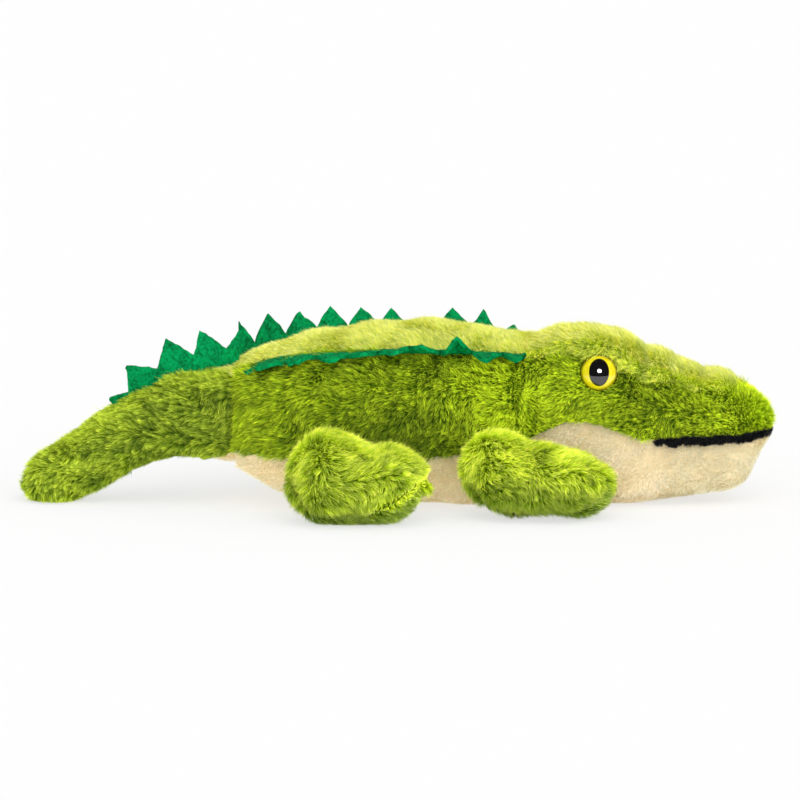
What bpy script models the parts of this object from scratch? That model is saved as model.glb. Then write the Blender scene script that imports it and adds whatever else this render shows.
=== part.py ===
# Plush crocodile: a stuffed toy lying on its belly, head along +X, its right side at -Y.
# Every stuffed limb is a smooth form swept along X. Its cloth is a shell of panels that
# meet at seams, and its stuffing is the same form, offset inwards.
# Head and tail turn about upright axes in their seams, and the legs about their hips.
# Blender 4.5, metres, +Z up. The floor is Z = 0.

import math

import bmesh
import bpy
import numpy as np
from mathutils import Matrix, Vector

# Cloth, seams and felt
cloth = 0.0024
seam_gap = 0.0004
filling_gap = 0.0008
felt = 0.0018
overrun = 0.012
floor_cut = 0.0005
weld = 0.00001
tiny = 0.000001

# Trunk
torso_length = 0.151
torso_half_width = 0.052
torso_height = 0.0945
torso_waist = 0.042
core_setback = 0.008
belly_seam_height = 0.030

# Head
head_length = 0.131
head_half_width = 0.041
head_height = 0.091
head_waist = 0.038
snout_cap = 0.027
neck_half_width = 0.040
neck_top = 0.0835
neck_bottom = 0.0032
head_swing = math.radians(10)
brow_height = 0.0042
brow_place = 0.041
brow_reach = 0.017
brow_angle = math.radians(60)
brow_spread = math.radians(15)

# Mouth cord
mouth_start = 0.069
mouth_height = 0.0365
mouth_rise = 0.0018
cord_radius = 0.0017
cord_sink = 0.0005

# Eyes
eye_place = 0.0385
eye_height = 0.0725
eye_radius = 0.010
eye_bulge = 0.0062
eye_flange = 0.0010
eye_tilt = math.radians(16)
eye_seat_depth = 0.0008
pupil_half_width = 0.0050
pupil_half_height = 0.0071
pupil_depth = 0.0034
stem_radius = 0.0022
stem_length = 0.0130
stem_clearance = 0.0003
washer_radius = 0.0065
washer_thickness = 0.0015
washer_depth = 0.0056

# Tail
tail_length = 0.114
tail_half_width = 0.025
tail_height = 0.0695
tail_cap = 0.015
tail_tip_height = 0.013
tail_root_bottom = 0.021
tail_swing = math.radians(20)
underside_length = 0.022
underside_height = 0.029

# Felt crests
crest_height = 0.017
crest_band = 0.007
crest_pitch = 0.0160
crest_end_margin = 0.0010
first_tip_setback = 0.0010
crest_wave = 0.0014
right_crest_lean = math.radians(8)
left_crest_lean = math.radians(85)
back_edge_drop = 0.0100
tail_crest_length = 0.0670
tail_crest_height = 0.0235

# Hind legs
hind_length = 0.073
hind_half_width = 0.0235
hind_height = 0.047
hind_behind = 0.019
hind_cap = 0.019
hind_place = 0.047
hind_plane = 0.0540
hind_pivot_height = 0.026
hind_plug_radius = 0.013
hind_sole_height = 0.0085
hind_sole_rise = 0.0110
hind_splay = math.radians(6)

# Front legs
front_length = 0.078
front_half_width = 0.0175
front_height = 0.0447
front_behind = 0.015
front_cap = 0.0165
front_place = 0.132
front_plane = 0.0455
front_pivot_height = 0.026
front_plug_radius = 0.011
front_sole_height = 0.0080
front_sole_rise = 0.0080
front_splay = math.radians(6)

# Legs, both pairs
leg_clearance = 0.0008
plug_inner_reach = 0.0030
plug_outer_reach = 0.0060

# Tables of shares. Forms: place along the length, then half width, top and bottom.
torso_shares = (
    (0.050, 0.670, 0.815, 0.155),
    (0.120, 0.815, 0.860, 0.090),
    (0.240, 0.940, 0.930, 0.030),
    (0.360, 0.990, 0.968, 0.000),
    (0.500, 1.000, 0.995, 0.000),
    (0.650, 0.955, 1.000, 0.000),
    (0.800, 0.870, 0.983, 0.000),
    (0.920, 0.838, 0.945, 0.004),
)
head_shares = (
    (0.150, 0.985, 0.985, 0.008),
    (0.300, 1.000, 1.000, 0.000),
    (0.400, 0.975, 0.968, 0.000),
    (0.470, 0.930, 0.893, 0.012),
    (0.550, 0.880, 0.858, 0.025),
    (0.680, 0.820, 0.778, 0.044),
    (0.800, 0.770, 0.745, 0.060),
    (0.900, 0.740, 0.725, 0.070),
    (1.000, 0.715, 0.700, 0.075),
)
tail_shares = (
    (0.150, 0.900, 0.965, 0.325),
    (0.270, 0.840, 0.935, 0.345),
    (0.430, 0.760, 0.830, 0.285),
    (0.520, 0.720, 0.745, 0.225),
    (0.620, 0.690, 0.645, 0.125),
    (0.760, 0.670, 0.525, 0.010),
    (0.880, 0.640, 0.420, 0.000),
    (1.000, 0.600, 0.350, 0.000),
)
hind_shares = (
    (0.000, 0.960, 0.930, 0.140),
    (0.130, 0.985, 0.975, 0.050),
    (0.260, 1.000, 1.000, 0.000),
    (0.440, 0.985, 0.910, 0.000),
    (0.580, 0.965, 0.840, 0.000),
    (0.740, 0.955, 0.850, 0.000),
    (0.880, 0.940, 0.810, 0.030),
    (1.000, 0.900, 0.740, 0.150),
)
front_shares = (
    (0.000, 0.960, 0.920, 0.260),
    (0.120, 0.985, 0.980, 0.130),
    (0.260, 1.000, 0.985, 0.040),
    (0.420, 1.000, 0.905, 0.000),
    (0.600, 0.990, 0.840, 0.000),
    (0.800, 0.980, 0.760, 0.000),
    (1.000, 0.940, 0.680, 0.080),
)
waist_share = 0.50
toe_waist_share = 0.44
head_waist_share = 0.30
tail_waist_share = 0.45

# Seams: place along the length, then height or drop as a share of the named size.
belly_seam_shares = ((0.00, 0.97), (0.25, 1.03), (0.70, 1.00), (0.90, 1.10), (1.00, 1.20))
back_edge_shares = (
    (0.00, 0.30), (0.12, 0.39), (0.24, 0.64), (0.40, 0.90), (0.60, 1.05), (0.80, 1.00), (1.00, 0.62),
)
crown_edge_shares = (
    (0.00, 0.055), (0.12, 0.045), (0.30, 0.060), (0.45, 0.075), (0.55, 0.060), (0.68, 0.040),
    (0.80, 0.025), (0.88, 0.000), (0.94, -0.040), (1.00, -0.120),
)
cheek_seam_shares = (
    (0.000, 0.412), (0.090, 0.475), (0.165, 0.522), (0.220, 0.525), (0.290, 0.508), (0.400, 0.455),
    (0.480, 0.415),
)

# Tail crest outline: along the strip from the trunk, then height above the cloth.
tail_tooth_shares = (
    (0.000, 0.900), (0.100, 0.510), (0.190, 0.740), (0.284, 1.000), (0.320, 0.660), (0.344, 0.480),
    (0.440, 0.700), (0.551, 1.000), (0.585, 0.600), (0.605, 0.375), (0.720, 0.560), (0.862, 0.825),
    (0.835, 0.450), (0.809, 0.160), (0.900, 0.250), (0.995, 0.335), (0.955, 0.120), (0.926, 0.000),
)

# Back crests: where a tooth has its tip, and the lean of each side's strip along the back.
tooth_tip_share = 0.42
tooth_curve = 0.80
crest_lean_shares = {
    -1: ((0.0, 1.0), (1.0, 1.0)),
    1: ((0.00, 1.00), (0.12, 0.94), (0.24, 0.62), (0.40, 0.52), (0.70, 0.54), (1.00, 0.50)),
}
toe_start_share = 0.60

# Section shape: the exponents of a superellipse above and below its waist.
top_roundness = 2.25
bottom_roundness = 2.60

# How much the steps of a sweep close up towards its ends, and the step of a slope.
easing_share = 0.40
slope_share = 0.0001

# Counts
torso_rings = 12
head_rings = 15
tail_rings = 12
leg_rings = 10
core_rings = 9
trunk_points = 24
tail_points = 20
leg_points = 14
core_points = 16
leg_core_points = 12
turn_steps = 20
barrel_steps = 32
barrel_rows = 14
ball_steps = 16
ball_rows = 8
seam_steps = 16
tooth_steps = 4
cord_steps = 24
cord_resolution = 1

# Colours
plush_green = (0.190, 0.330, 0.012, 1.0)
plush_leg = (0.285, 0.440, 0.020, 1.0)
plush_tail = (0.210, 0.340, 0.025, 1.0)
plush_lime = (0.620, 0.720, 0.140, 1.0)
plush_cream = (0.760, 0.650, 0.430, 1.0)
felt_green = (0.002, 0.240, 0.075, 1.0)
eye_yellow = (0.780, 0.640, 0.003, 1.0)
pupil_black = (0.004, 0.004, 0.004, 1.0)
cord_black = (0.010, 0.010, 0.010, 1.0)
washer_white = (0.800, 0.800, 0.780, 1.0)
filling_white = (0.850, 0.850, 0.830, 1.0)

# Derived places
cord_reach = cord_radius - cord_sink
whole_length = tail_length + torso_length + head_length + cord_reach
tail_seam_x = tail_length - whole_length / 2
neck_x = tail_seam_x + torso_length
core_depth = cloth + filling_gap
collar = cloth + seam_gap
slot_half = felt / 2 + seam_gap


for old in list(bpy.data.objects):
    bpy.data.objects.remove(old, do_unlink=True)

toy = bpy.data.collections.new("plush_crocodile")
cutters = bpy.data.collections.new("cutters")
bpy.context.scene.collection.children.link(toy)
bpy.context.scene.collection.children.link(cutters)


def material(name, colour, roughness, metallic=0.0):
    made = bpy.data.materials.new(name)
    made.use_nodes = True
    made.diffuse_color = colour
    shader = made.node_tree.nodes["Principled BSDF"]
    shader.inputs["Base Color"].default_value = colour
    shader.inputs["Roughness"].default_value = roughness
    shader.inputs["Metallic"].default_value = metallic
    return made


finishes = {
    "green": material("plush_green", plush_green, 0.95),
    "leg": material("plush_leg", plush_leg, 0.95),
    "tail": material("plush_tail", plush_tail, 0.95),
    "lime": material("plush_lime", plush_lime, 0.95),
    "cream": material("plush_cream", plush_cream, 0.95),
    "felt": material("felt_green", felt_green, 0.90),
    "eye": material("eye_yellow", eye_yellow, 0.12),
    "pupil": material("pupil_black", pupil_black, 0.10),
    "cord": material("cord_black", cord_black, 0.90),
    "washer": material("washer_white", washer_white, 0.45),
    "filling": material("polyester_filling", filling_white, 1.0),
}


def smooth_through(stations, values, at):
    # A cubic through the table's values, with the slopes that the table itself has.
    stations = np.asarray(stations, float)
    values = np.asarray(values, float)
    at = np.clip(at, stations[0], stations[-1])
    slopes = np.gradient(values, stations)
    left = np.clip(np.searchsorted(stations, at, side="right") - 1, 0, len(stations) - 2)
    width = stations[left + 1] - stations[left]
    t = (at - stations[left]) / width
    start = (1 + 2 * t) * (1 - t) ** 2 * values[left] + t * (1 - t) ** 2 * width * slopes[left]
    end = t * t * (3 - 2 * t) * values[left + 1] - t * t * (1 - t) * width * slopes[left + 1]
    return start + end


def signed_power(value, exponent):
    return np.sign(value) * np.abs(value) ** exponent


class SoftForm:
    # A stuffed form swept along X from origin_x. Its sections are upright superellipses,
    # and a closed end is rounded off over the length of its cap.
    def __init__(self, length, table, waists, origin_x=0.0, direction=1, caps=(0.0, 0.0),
                 side_shift=0.0, swellings=()):
        self.length = length
        self.table = np.asarray(table, float)
        self.waists = np.asarray(waists, float)
        self.origin_x = origin_x
        self.direction = direction
        self.caps = caps
        self.side_shift = side_shift
        self.swellings = swellings

    def sections(self, sweep):
        # A sweep of 0 to 1 runs over the form; in a cap it steps by angle, as on a ball.
        first, last = (cap / self.length for cap in self.caps)
        along = np.clip(sweep, 0, 1)
        rounding = np.ones_like(along)
        if first:
            angle = np.clip(1 - along / first, 0, 1) * math.pi / 2
            rounding = np.where(along < first, np.cos(angle), rounding)
            along = np.where(along < first, first * (1 - np.sin(angle)), along)
        if last:
            angle = np.clip((along - 1 + last) / last, 0, 1) * math.pi / 2
            rounding = np.where(along > 1 - last, np.cos(angle), rounding)
            along = np.where(along > 1 - last, 1 - last * (1 - np.sin(angle)), along)
        half, top, bottom = (
            smooth_through(self.table[:, 0], self.table[:, i], along) for i in (1, 2, 3)
        )
        waist = np.interp(along, self.waists[:, 0], self.waists[:, 1])
        return along, half * rounding, (top - waist) * rounding, (waist - bottom) * rounding, waist

    def surface(self, sweep, angle):
        along, half, up, down, waist = self.sections(sweep)
        cos, sin = np.cos(angle), np.sin(angle)
        roundness = np.where(sin > 0, top_roundness, bottom_roundness)
        y = half * signed_power(cos, 2 / roundness) + self.side_shift
        z = waist + np.where(sin > 0, up, down) * signed_power(sin, 2 / roundness)
        x = self.origin_x + self.direction * self.length * along
        return np.stack(np.broadcast_arrays(x, y, z), axis=-1)

    def normals(self, sweep, angle):
        step = slope_share
        inside = np.clip(sweep, 2 * step, 1 - 2 * step)
        along = self.surface(inside + step, angle) - self.surface(inside - step, angle)
        around = self.surface(inside, angle + step) - self.surface(inside, angle - step)
        normal = np.cross(around, along) * self.direction
        return normal / np.maximum(np.linalg.norm(normal, axis=-1, keepdims=True), tiny**2)

    def rings(self, sweeps, count, depth=0.0, swollen=True):
        # Closed rings of points, sunk below the surface by depth.
        angle = np.arange(count) * (2 * math.pi / count)
        sweep, angle = np.meshgrid(np.asarray(sweeps, float), angle, indexing="ij")
        points = self.surface(sweep, angle)
        normals = self.normals(sweep, angle)
        rise = np.zeros_like(sweep)
        along = self.sections(sweep)[0]
        for place, reach, at_angle, spread, height in self.swellings if swollen else ():
            far = ((along - place) / reach) ** 2 + ((angle - at_angle) / spread) ** 2
            rise = rise + height * np.exp(-far)
        return points + normals * (rise - depth)[..., None]

    def sweep_at(self, along):
        # The sweep that reaches a place, given as a share of the length.
        first, last = (cap / self.length for cap in self.caps)
        sweep = np.asarray(along, float)
        if first:
            turn = np.arcsin(np.clip(1 - sweep / first, 0, 1)) / (math.pi / 2)
            sweep = np.where(sweep < first, first * (1 - turn), sweep)
        if last:
            turn = np.arcsin(np.clip(1 - (1 - sweep) / last, 0, 1)) / (math.pi / 2)
            sweep = np.where(sweep > 1 - last, 1 - last * (1 - turn), sweep)
        return sweep

    def angle_at(self, sweep, height):
        # The angle on the +Y side where the surface has a height.
        _, _, up, down, waist = self.sections(sweep)
        above = height > waist
        roundness = np.where(above, top_roundness, bottom_roundness)
        reach = np.maximum(np.where(above, up, down), tiny)
        share = np.clip(np.abs(height - waist) / reach, 0, 1)
        return np.where(above, 1, -1) * np.arcsin(share ** (roundness / 2))

    def top_at(self, sweep):
        _, _, up, _, waist = self.sections(sweep)
        return waist + up


def mesh_object(name, points, faces, finish=None, collection=None):
    mesh = bpy.data.meshes.new(name)
    mesh.from_pydata([tuple(p) for p in points], [], faces)
    shape = bmesh.new()
    shape.from_mesh(mesh)
    bmesh.ops.recalc_face_normals(shape, faces=shape.faces)
    shape.to_mesh(mesh)
    shape.free()
    mesh.shade_smooth()
    made = bpy.data.objects.new(name, mesh)
    (collection or (toy if finish else cutters)).objects.link(made)
    if finish:
        mesh.materials.append(finishes[finish])
    else:
        made.hide_render = True
        made.display_type = "WIRE"
    return made


def loft(name, rings, finish=None, poles=(None, None)):
    # Skins rings of equal count, and closes each end on its pole or with one flat face.
    rows, count = rings.shape[:2]
    points = [p for ring in rings for p in ring]
    faces = []
    for row in range(rows - 1):
        for i in range(count):
            j = (i + 1) % count
            a, b = row * count, (row + 1) * count
            faces.append((a + i, a + j, b + j, b + i))
    for pole, start in zip(poles, (0, (rows - 1) * count)):
        ring = list(range(start, start + count))
        if pole is None:
            faces.append(tuple(ring))
            continue
        points.append(pole)
        faces += [(ring[i], ring[(i + 1) % count], len(points) - 1) for i in range(count)]
    return mesh_object(name, points, faces, finish)


def prism(name, outline, y_from, y_to):
    # A cutter: an outline of (x, z) points, run along Y.
    count = len(outline)
    points = [(x, y, z) for y in (y_from, y_to) for x, z in outline]
    faces = [tuple(range(count)), tuple(range(count, 2 * count))]
    for i in range(count):
        j = (i + 1) % count
        faces.append((i, j, count + j, count + i))
    return mesh_object(name, points, faces)


def boolean(target, cutter, operation):
    cut = target.modifiers.new(cutter.name, "BOOLEAN")
    cut.operation = operation
    cut.solver = "EXACT"
    cut.object = cutter
    return target


def turned(name, profile, finish=None, steps=turn_steps, closed=False):
    # A profile of (radius, height) points, down its outer side, turned about Z.
    edges = [(i, i + 1) for i in range(len(profile) - 1)]
    if closed:
        edges.append((len(profile) - 1, 0))
    mesh = bpy.data.meshes.new(name)
    mesh.from_pydata([(radius, 0, height) for radius, height in profile], edges, [])
    made = bpy.data.objects.new(name, mesh)
    (toy if finish else cutters).objects.link(made)
    spin = made.modifiers.new("turn", "SCREW")
    spin.steps = spin.render_steps = steps
    spin.use_merge_vertices = True
    spin.merge_threshold = weld
    spin.use_smooth_shade = True
    if finish:
        mesh.materials.append(finishes[finish])
    else:
        made.hide_render = True
        made.display_type = "WIRE"
    return made


def realise(made):
    # The object's evaluated mesh, closed at its poles, in place of its modifiers.
    bpy.context.view_layer.update()
    graph = bpy.context.evaluated_depsgraph_get()
    mesh = bpy.data.meshes.new_from_object(made.evaluated_get(graph))
    shape = bmesh.new()
    shape.from_mesh(mesh)
    bmesh.ops.remove_doubles(shape, verts=shape.verts, dist=tiny)
    bmesh.ops.recalc_face_normals(shape, faces=shape.faces)
    shape.to_mesh(mesh)
    shape.free()
    made.modifiers.clear()
    made.data = mesh
    return made


def eased(count, start=0.0, stop=1.0):
    # Steps that close up a little towards both ends.
    even = np.linspace(0, 1, count)
    wave = (1 - np.cos(math.pi * even)) / 2
    return start + (stop - start) * (even + easing_share * (wave - even))


def pole_of(form, sweep, depth):
    # The middle of a capped end, sunk by depth.
    ring = form.rings([sweep], 4, depth)[0]
    return tuple(ring.mean(axis=0))


# The forms

def neck_section(extra):
    return neck_half_width + extra, neck_top + extra, neck_bottom - extra


def tail_section(extra):
    return tail_half_width + extra, tail_height + extra, tail_root_bottom - extra


def scaled(table, half_width, height):
    return [
        (along, wide * half_width, top * height, low * height - floor_cut)
        for along, wide, top, low in table
    ]


torso = SoftForm(
    torso_length,
    [(0.0, *tail_section(collar))]
    + scaled(torso_shares, torso_half_width, torso_height)
    + [(1.0, *neck_section(collar))],
    [(0.0, torso_waist), (1.0, torso_waist)],
    origin_x=tail_seam_x,
)
brow = (brow_place / head_length, brow_reach / head_length)
head = SoftForm(
    head_length,
    [
        (0.0, *neck_section(0)),
        (
            neck_half_width * math.sin(head_swing) / head_length,
            neck_half_width * math.cos(head_swing) - seam_gap,
            neck_top - seam_gap,
            neck_bottom + seam_gap,
        ),
    ]
    + scaled(head_shares, head_half_width, head_height),
    [(0.0, torso_waist), (head_waist_share, head_waist), (1.0, head_waist)],
    origin_x=neck_x,
    caps=(0.0, snout_cap),
    swellings=[
        (*brow, brow_angle, brow_spread, brow_height),
        (*brow, math.pi - brow_angle, brow_spread, brow_height),
    ],
)
tail = SoftForm(
    tail_length,
    [
        (0.0, *tail_section(0)),
        (
            tail_half_width * math.sin(tail_swing) / tail_length,
            tail_half_width * math.cos(tail_swing) - seam_gap / 2,
            tail_height - seam_gap,
            tail_root_bottom + seam_gap,
        ),
    ]
    + scaled(tail_shares, tail_half_width, tail_height),
    [(0.0, torso_waist), (tail_waist_share, tail_height / 2), (1.0, tail_tip_height)],
    origin_x=tail_seam_x,
    direction=-1,
    caps=(0.0, tail_cap),
)

# Cutters that follow a form: its cavity, and the upright barrel that its joint turns in

def hollow(name, form, sweeps, count, open_start, open_stop):
    # The space inside the cloth. An open end runs on past the seam.
    rings = form.rings(sweeps, count, cloth)
    poles = [None, None]
    if open_start:
        rings = np.concatenate([pushed(rings[:1], -form.direction), rings])
    else:
        poles[0] = pole_of(form, 0.0, cloth)
    if open_stop:
        rings = np.concatenate([rings, pushed(rings[-1:], form.direction)])
    else:
        poles[1] = pole_of(form, 1.0, cloth)
    return loft(name, rings, poles=poles)


def pushed(ring, way):
    flat = ring.copy()
    flat[..., 0] = ring[..., 0].mean() + way * overrun
    return flat


def barrel(name, section, axis_x, steps=barrel_steps, rows=barrel_rows):
    # A seam's section turned about the upright axis through it.
    half, top, bottom = section
    angle = np.linspace(math.pi / 2, -math.pi / 2, rows + 1)
    roundness = np.where(angle > 0, top_roundness, bottom_roundness)
    radius = half * np.maximum(np.cos(angle), 0) ** (2 / roundness)
    radius[0] = radius[-1] = 0.0
    reach = np.where(angle > 0, top - torso_waist, torso_waist - bottom)
    height = torso_waist + reach * signed_power(np.sin(angle), 2 / roundness)
    made = realise(turned(name, list(zip(radius, height)), steps=steps))
    made.location.x = axis_x
    return made


def make_core(word, form, section, sweeps):
    # The stuffing of a head or tail, with the round end that turns inside the trunk.
    rings = form.rings(sweeps, core_points, core_depth, swollen=False)
    poles = (rings[0].mean(axis=0), pole_of(form, 1.0, core_depth))
    core = loft(word + "_stuffing", rings, "filling", poles)
    inside = section(-core_depth - seam_gap)
    ball = barrel(word + "_ball", inside, form.origin_x, ball_steps, ball_rows)
    return boolean(core, ball, "UNION"), ball


def strip_outline(xs, low, high):
    low = np.broadcast_to(low, xs.shape)
    high = np.broadcast_to(high, xs.shape)
    return list(zip(xs, low)) + list(zip(xs[::-1], high[::-1]))


def panel(name, outer, finish, region, cuts=()):
    # A piece of cloth: the form's shell, kept inside its region.
    made = bpy.data.objects.new(name, outer.data.copy())
    toy.objects.link(made)
    made.data.materials.clear()
    made.data.materials.append(finishes[finish])
    for cutter in cuts:
        boolean(made, cutter, "DIFFERENCE")
    return boolean(made, region, "INTERSECT")


def joint_empty(name, place, turn=0.0):
    made = bpy.data.objects.new(name, None)
    made.empty_display_size = overrun
    made.location = place
    made.rotation_euler.z = turn
    toy.objects.link(made)
    return made


def hang(pieces, empty, in_world=False):
    # Parents the pieces; those that were made in world coordinates keep their place.
    for piece in pieces:
        piece.parent = empty
        if in_world:
            turn = Matrix.Rotation(empty.rotation_euler.z, 4, "Z")
            piece.matrix_parent_inverse = (Matrix.Translation(empty.location) @ turn).inverted()


# Trunk

far_side = torso_half_width + overrun


def back_edge(along):
    # Straight between its knots, so that the cut cloth and the felt in it follow one line.
    knots = eased(seam_steps)
    drop = smooth_through(*np.transpose(back_edge_shares), knots)
    return np.interp(along, knots, torso.top_at(knots) - back_edge_drop * drop)


def belly_seam(along):
    return belly_seam_height * smooth_through(*np.transpose(belly_seam_shares), along)


def make_trunk(plug_cutters):
    sweeps = eased(torso_rings)
    outer = loft("torso_outer", torso.rings(sweeps, trunk_points))
    cavity = hollow("torso_cavity", torso, sweeps, trunk_points, True, True)
    neck_barrel = barrel("neck_barrel", neck_section(seam_gap), neck_x)
    tail_barrel = barrel("tail_barrel", tail_section(seam_gap), tail_seam_x)

    inside = np.concatenate([[0], eased(seam_steps), [1]])
    xs = tail_seam_x + torso_length * inside
    xs[0] -= overrun
    xs[-1] += overrun
    edge = back_edge(inside)
    seam = belly_seam(inside)
    above = torso_height + overrun
    side = strip_outline(xs, seam + seam_gap / 2, edge - slot_half)
    regions = {
        "side_right": prism("side_right_region", side, -far_side, 0),
        "side_left": prism("side_left_region", side, 0, far_side),
        "back": prism(
            "back_region", strip_outline(xs, edge + slot_half, above), -far_side, far_side
        ),
        "belly": prism(
            "belly_region", strip_outline(xs, 0, seam - seam_gap / 2), -far_side, far_side
        ),
    }
    cuts = [cavity, neck_barrel, tail_barrel]
    right_holes = [c for c in plug_cutters if "right" in c.name]
    left_holes = [c for c in plug_cutters if "left" in c.name]
    panel("side_panel_right", outer, "green", regions["side_right"], cuts + right_holes)
    panel("side_panel_left", outer, "green", regions["side_left"], cuts + left_holes)
    panel("back_panel", outer, "lime", regions["back"], cuts)
    panel("belly_panel", outer, "cream", regions["belly"], cuts + plug_cutters)
    bpy.data.objects.remove(outer)

    setback = core_setback / torso_length
    rings = torso.rings(eased(core_rings, setback, 1 - setback), core_points, core_depth)
    poles = (rings[0].mean(axis=0), rings[-1].mean(axis=0))
    core = loft("torso_stuffing", rings, "filling", poles)
    for cutter in [neck_barrel, tail_barrel] + plug_cutters:
        boolean(core, cutter, "DIFFERENCE")


def tooth(distance):
    # Height of the toothed edge: 0 in a valley, 1 at a tip.
    t = (distance / crest_pitch + tooth_tip_share) % 1.0
    rise = np.where(t < tooth_tip_share, t / tooth_tip_share, (1 - t) / (1 - tooth_tip_share))
    return rise**tooth_curve


def make_back_crest(name, side, lean, wave):
    # A felt strip: its root lies in the seam, and it bends to its lean outside.
    start = tail_seam_x + crest_end_margin
    stop = neck_x - crest_end_margin
    first_tip = tail_seam_x + first_tip_setback
    steps = int(round((stop - start) / crest_pitch * tooth_steps))
    xs = np.linspace(start, stop, steps + 1)
    knots = [first_tip + i * crest_pitch for i in range(int((stop - first_tip) / crest_pitch) + 1)]
    for knot in knots:
        if start < knot < stop:
            xs[np.abs(xs - knot).argmin()] = knot
    along = (xs - tail_seam_x) / torso_length
    height = back_edge(along)
    y = torso.surface(along, torso.angle_at(along, height))[:, 1]
    lean_at = lean * smooth_through(*np.transpose(crest_lean_shares[side]), along)
    top = crest_band + (crest_height - crest_band) * tooth(xs - first_tip)
    ripple = wave * np.sin(math.pi * (xs - first_tip) / crest_pitch)
    rows = []
    for reach in (-cloth, felt):
        rows.append(np.stack([xs, side * (y + reach), height], axis=-1))
    for share, reach in ((0.5, crest_band / 2), (1.0, top)):
        out = y + felt + reach * np.cos(lean_at)
        up = height + reach * np.sin(lean_at) + ripple * share
        rows.append(np.stack([xs, side * out, up], axis=-1))
    count = len(xs)
    faces = []
    for row in range(len(rows) - 1):
        for i in range(count - 1):
            a, b = row * count + i, (row + 1) * count + i
            faces.append((a, a + 1, b + 1, b))
    strip = mesh_object(name, np.concatenate(rows), faces, "felt")
    thick = strip.modifiers.new("felt", "SOLIDIFY")
    thick.thickness = felt
    thick.offset = 0.0
    return strip


# Head

def head_x(along):
    return neck_x + head_length * along


def mouth_line(along):
    start = mouth_start / head_length
    return mouth_height + mouth_rise * np.clip((along - start) / (1 - start), 0, 1) ** 2


def crown_edge(along):
    drop = smooth_through(*np.transpose(crown_edge_shares), along)
    return head.top_at(head.sweep_at(along)) - head_height * drop


def make_head():
    axis = joint_empty("head_joint", (neck_x, 0, 0))
    sweeps = eased(head_rings)[:-1]
    tip = pole_of(head, 1.0, 0.0)
    outer = loft("head_outer", head.rings(sweeps, trunk_points), poles=(None, tip))
    cavity = hollow("head_cavity", head, sweeps, trunk_points, True, False)

    reach = overrun / head_length
    mouth_at = (mouth_start - cord_radius - seam_gap) / head_length
    before = np.linspace(-reach, mouth_at, seam_steps // 2)
    after = np.linspace(mouth_at, 1 + reach, seam_steps // 2)
    cheek = head_height * smooth_through(*np.transpose(cheek_seam_shares), np.clip(before, 0, 1))
    groove = cord_radius + seam_gap
    seam_along = np.concatenate([before, after])
    lower = np.concatenate([cheek - seam_gap / 2, mouth_line(after) - groove])
    upper = np.concatenate([cheek + seam_gap / 2, mouth_line(after) + groove])
    edge_along = np.linspace(-reach, 1 + reach, 2 * seam_steps)
    edge = crown_edge(np.clip(edge_along, 0, 1))
    above = head_height + overrun
    wide = head_half_width + overrun
    cheek_outline = list(zip(head_x(seam_along), upper)) + list(
        zip(head_x(edge_along[::-1]), edge[::-1] - seam_gap / 2)
    )
    right = prism("cheek_right_region", cheek_outline, -wide, -seam_gap / 2)
    left = prism("cheek_left_region", cheek_outline, seam_gap / 2, wide)
    crown = prism(
        "crown_region",
        strip_outline(head_x(edge_along), np.minimum(edge + seam_gap / 2, above - seam_gap), above),
        -wide,
        wide,
    )
    jaw = prism("jaw_region", strip_outline(head_x(seam_along), 0, lower), -wide, wide)

    core, ball = make_core("head", head, neck_section, sweeps)
    pieces = [core, cavity, ball, right, left, crown, jaw]
    for side, region in ((-1, right), (1, left)):
        word = "right" if side < 0 else "left"
        seat, pocket = make_eye(word, side, axis)
        pieces.append(panel("cheek_panel_" + word, outer, "green", region, [cavity, seat]))
        boolean(core, pocket, "DIFFERENCE")
    pieces.append(panel("head_top_panel", outer, "lime", crown, [cavity]))
    pieces.append(panel("jaw_panel", outer, "cream", jaw, [cavity]))
    pieces.append(make_mouth_trim())
    bpy.data.objects.remove(outer)
    hang(pieces, axis, in_world=True)


def make_mouth_trim():
    # The cord runs from one corner of the mouth round the snout to the other.
    start = head.sweep_at(mouth_start / head_length)
    sweep = np.linspace(start, 1, cord_steps // 2 + 1)
    along = head.sections(sweep)[0]
    angle = head.angle_at(sweep, mouth_line(along))
    right = head.surface(sweep, math.pi - angle) - cord_sink * head.normals(sweep, math.pi - angle)
    left = right[-2::-1] * np.array([1, -1, 1])
    route = bpy.data.curves.new("mouth_trim", "CURVE")
    route.dimensions = "3D"
    line = route.splines.new("POLY")
    points = np.concatenate([right, left])
    points[len(right) - 1, 1] = 0.0
    line.points.add(len(points) - 1)
    for knot, place in zip(line.points, points):
        knot.co = (*place, 1.0)
    route.bevel_depth = cord_radius
    route.bevel_resolution = cord_resolution
    route.use_fill_caps = True
    route.materials.append(finishes["cord"])
    made = bpy.data.objects.new("mouth_trim", route)
    toy.objects.link(made)
    return made


def ellipse_post(name, half_width, half_height, low, high):
    bpy.ops.mesh.primitive_cylinder_add(vertices=turn_steps, radius=1, depth=1)
    made = bpy.context.object
    made.name = made.data.name = name
    for old in list(made.users_collection):
        old.objects.unlink(made)
    size = Matrix.Diagonal((half_width, half_height, high - low, 1))
    made.data.transform(Matrix.Translation((0, 0, (low + high) / 2)) @ size)
    return made


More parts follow.
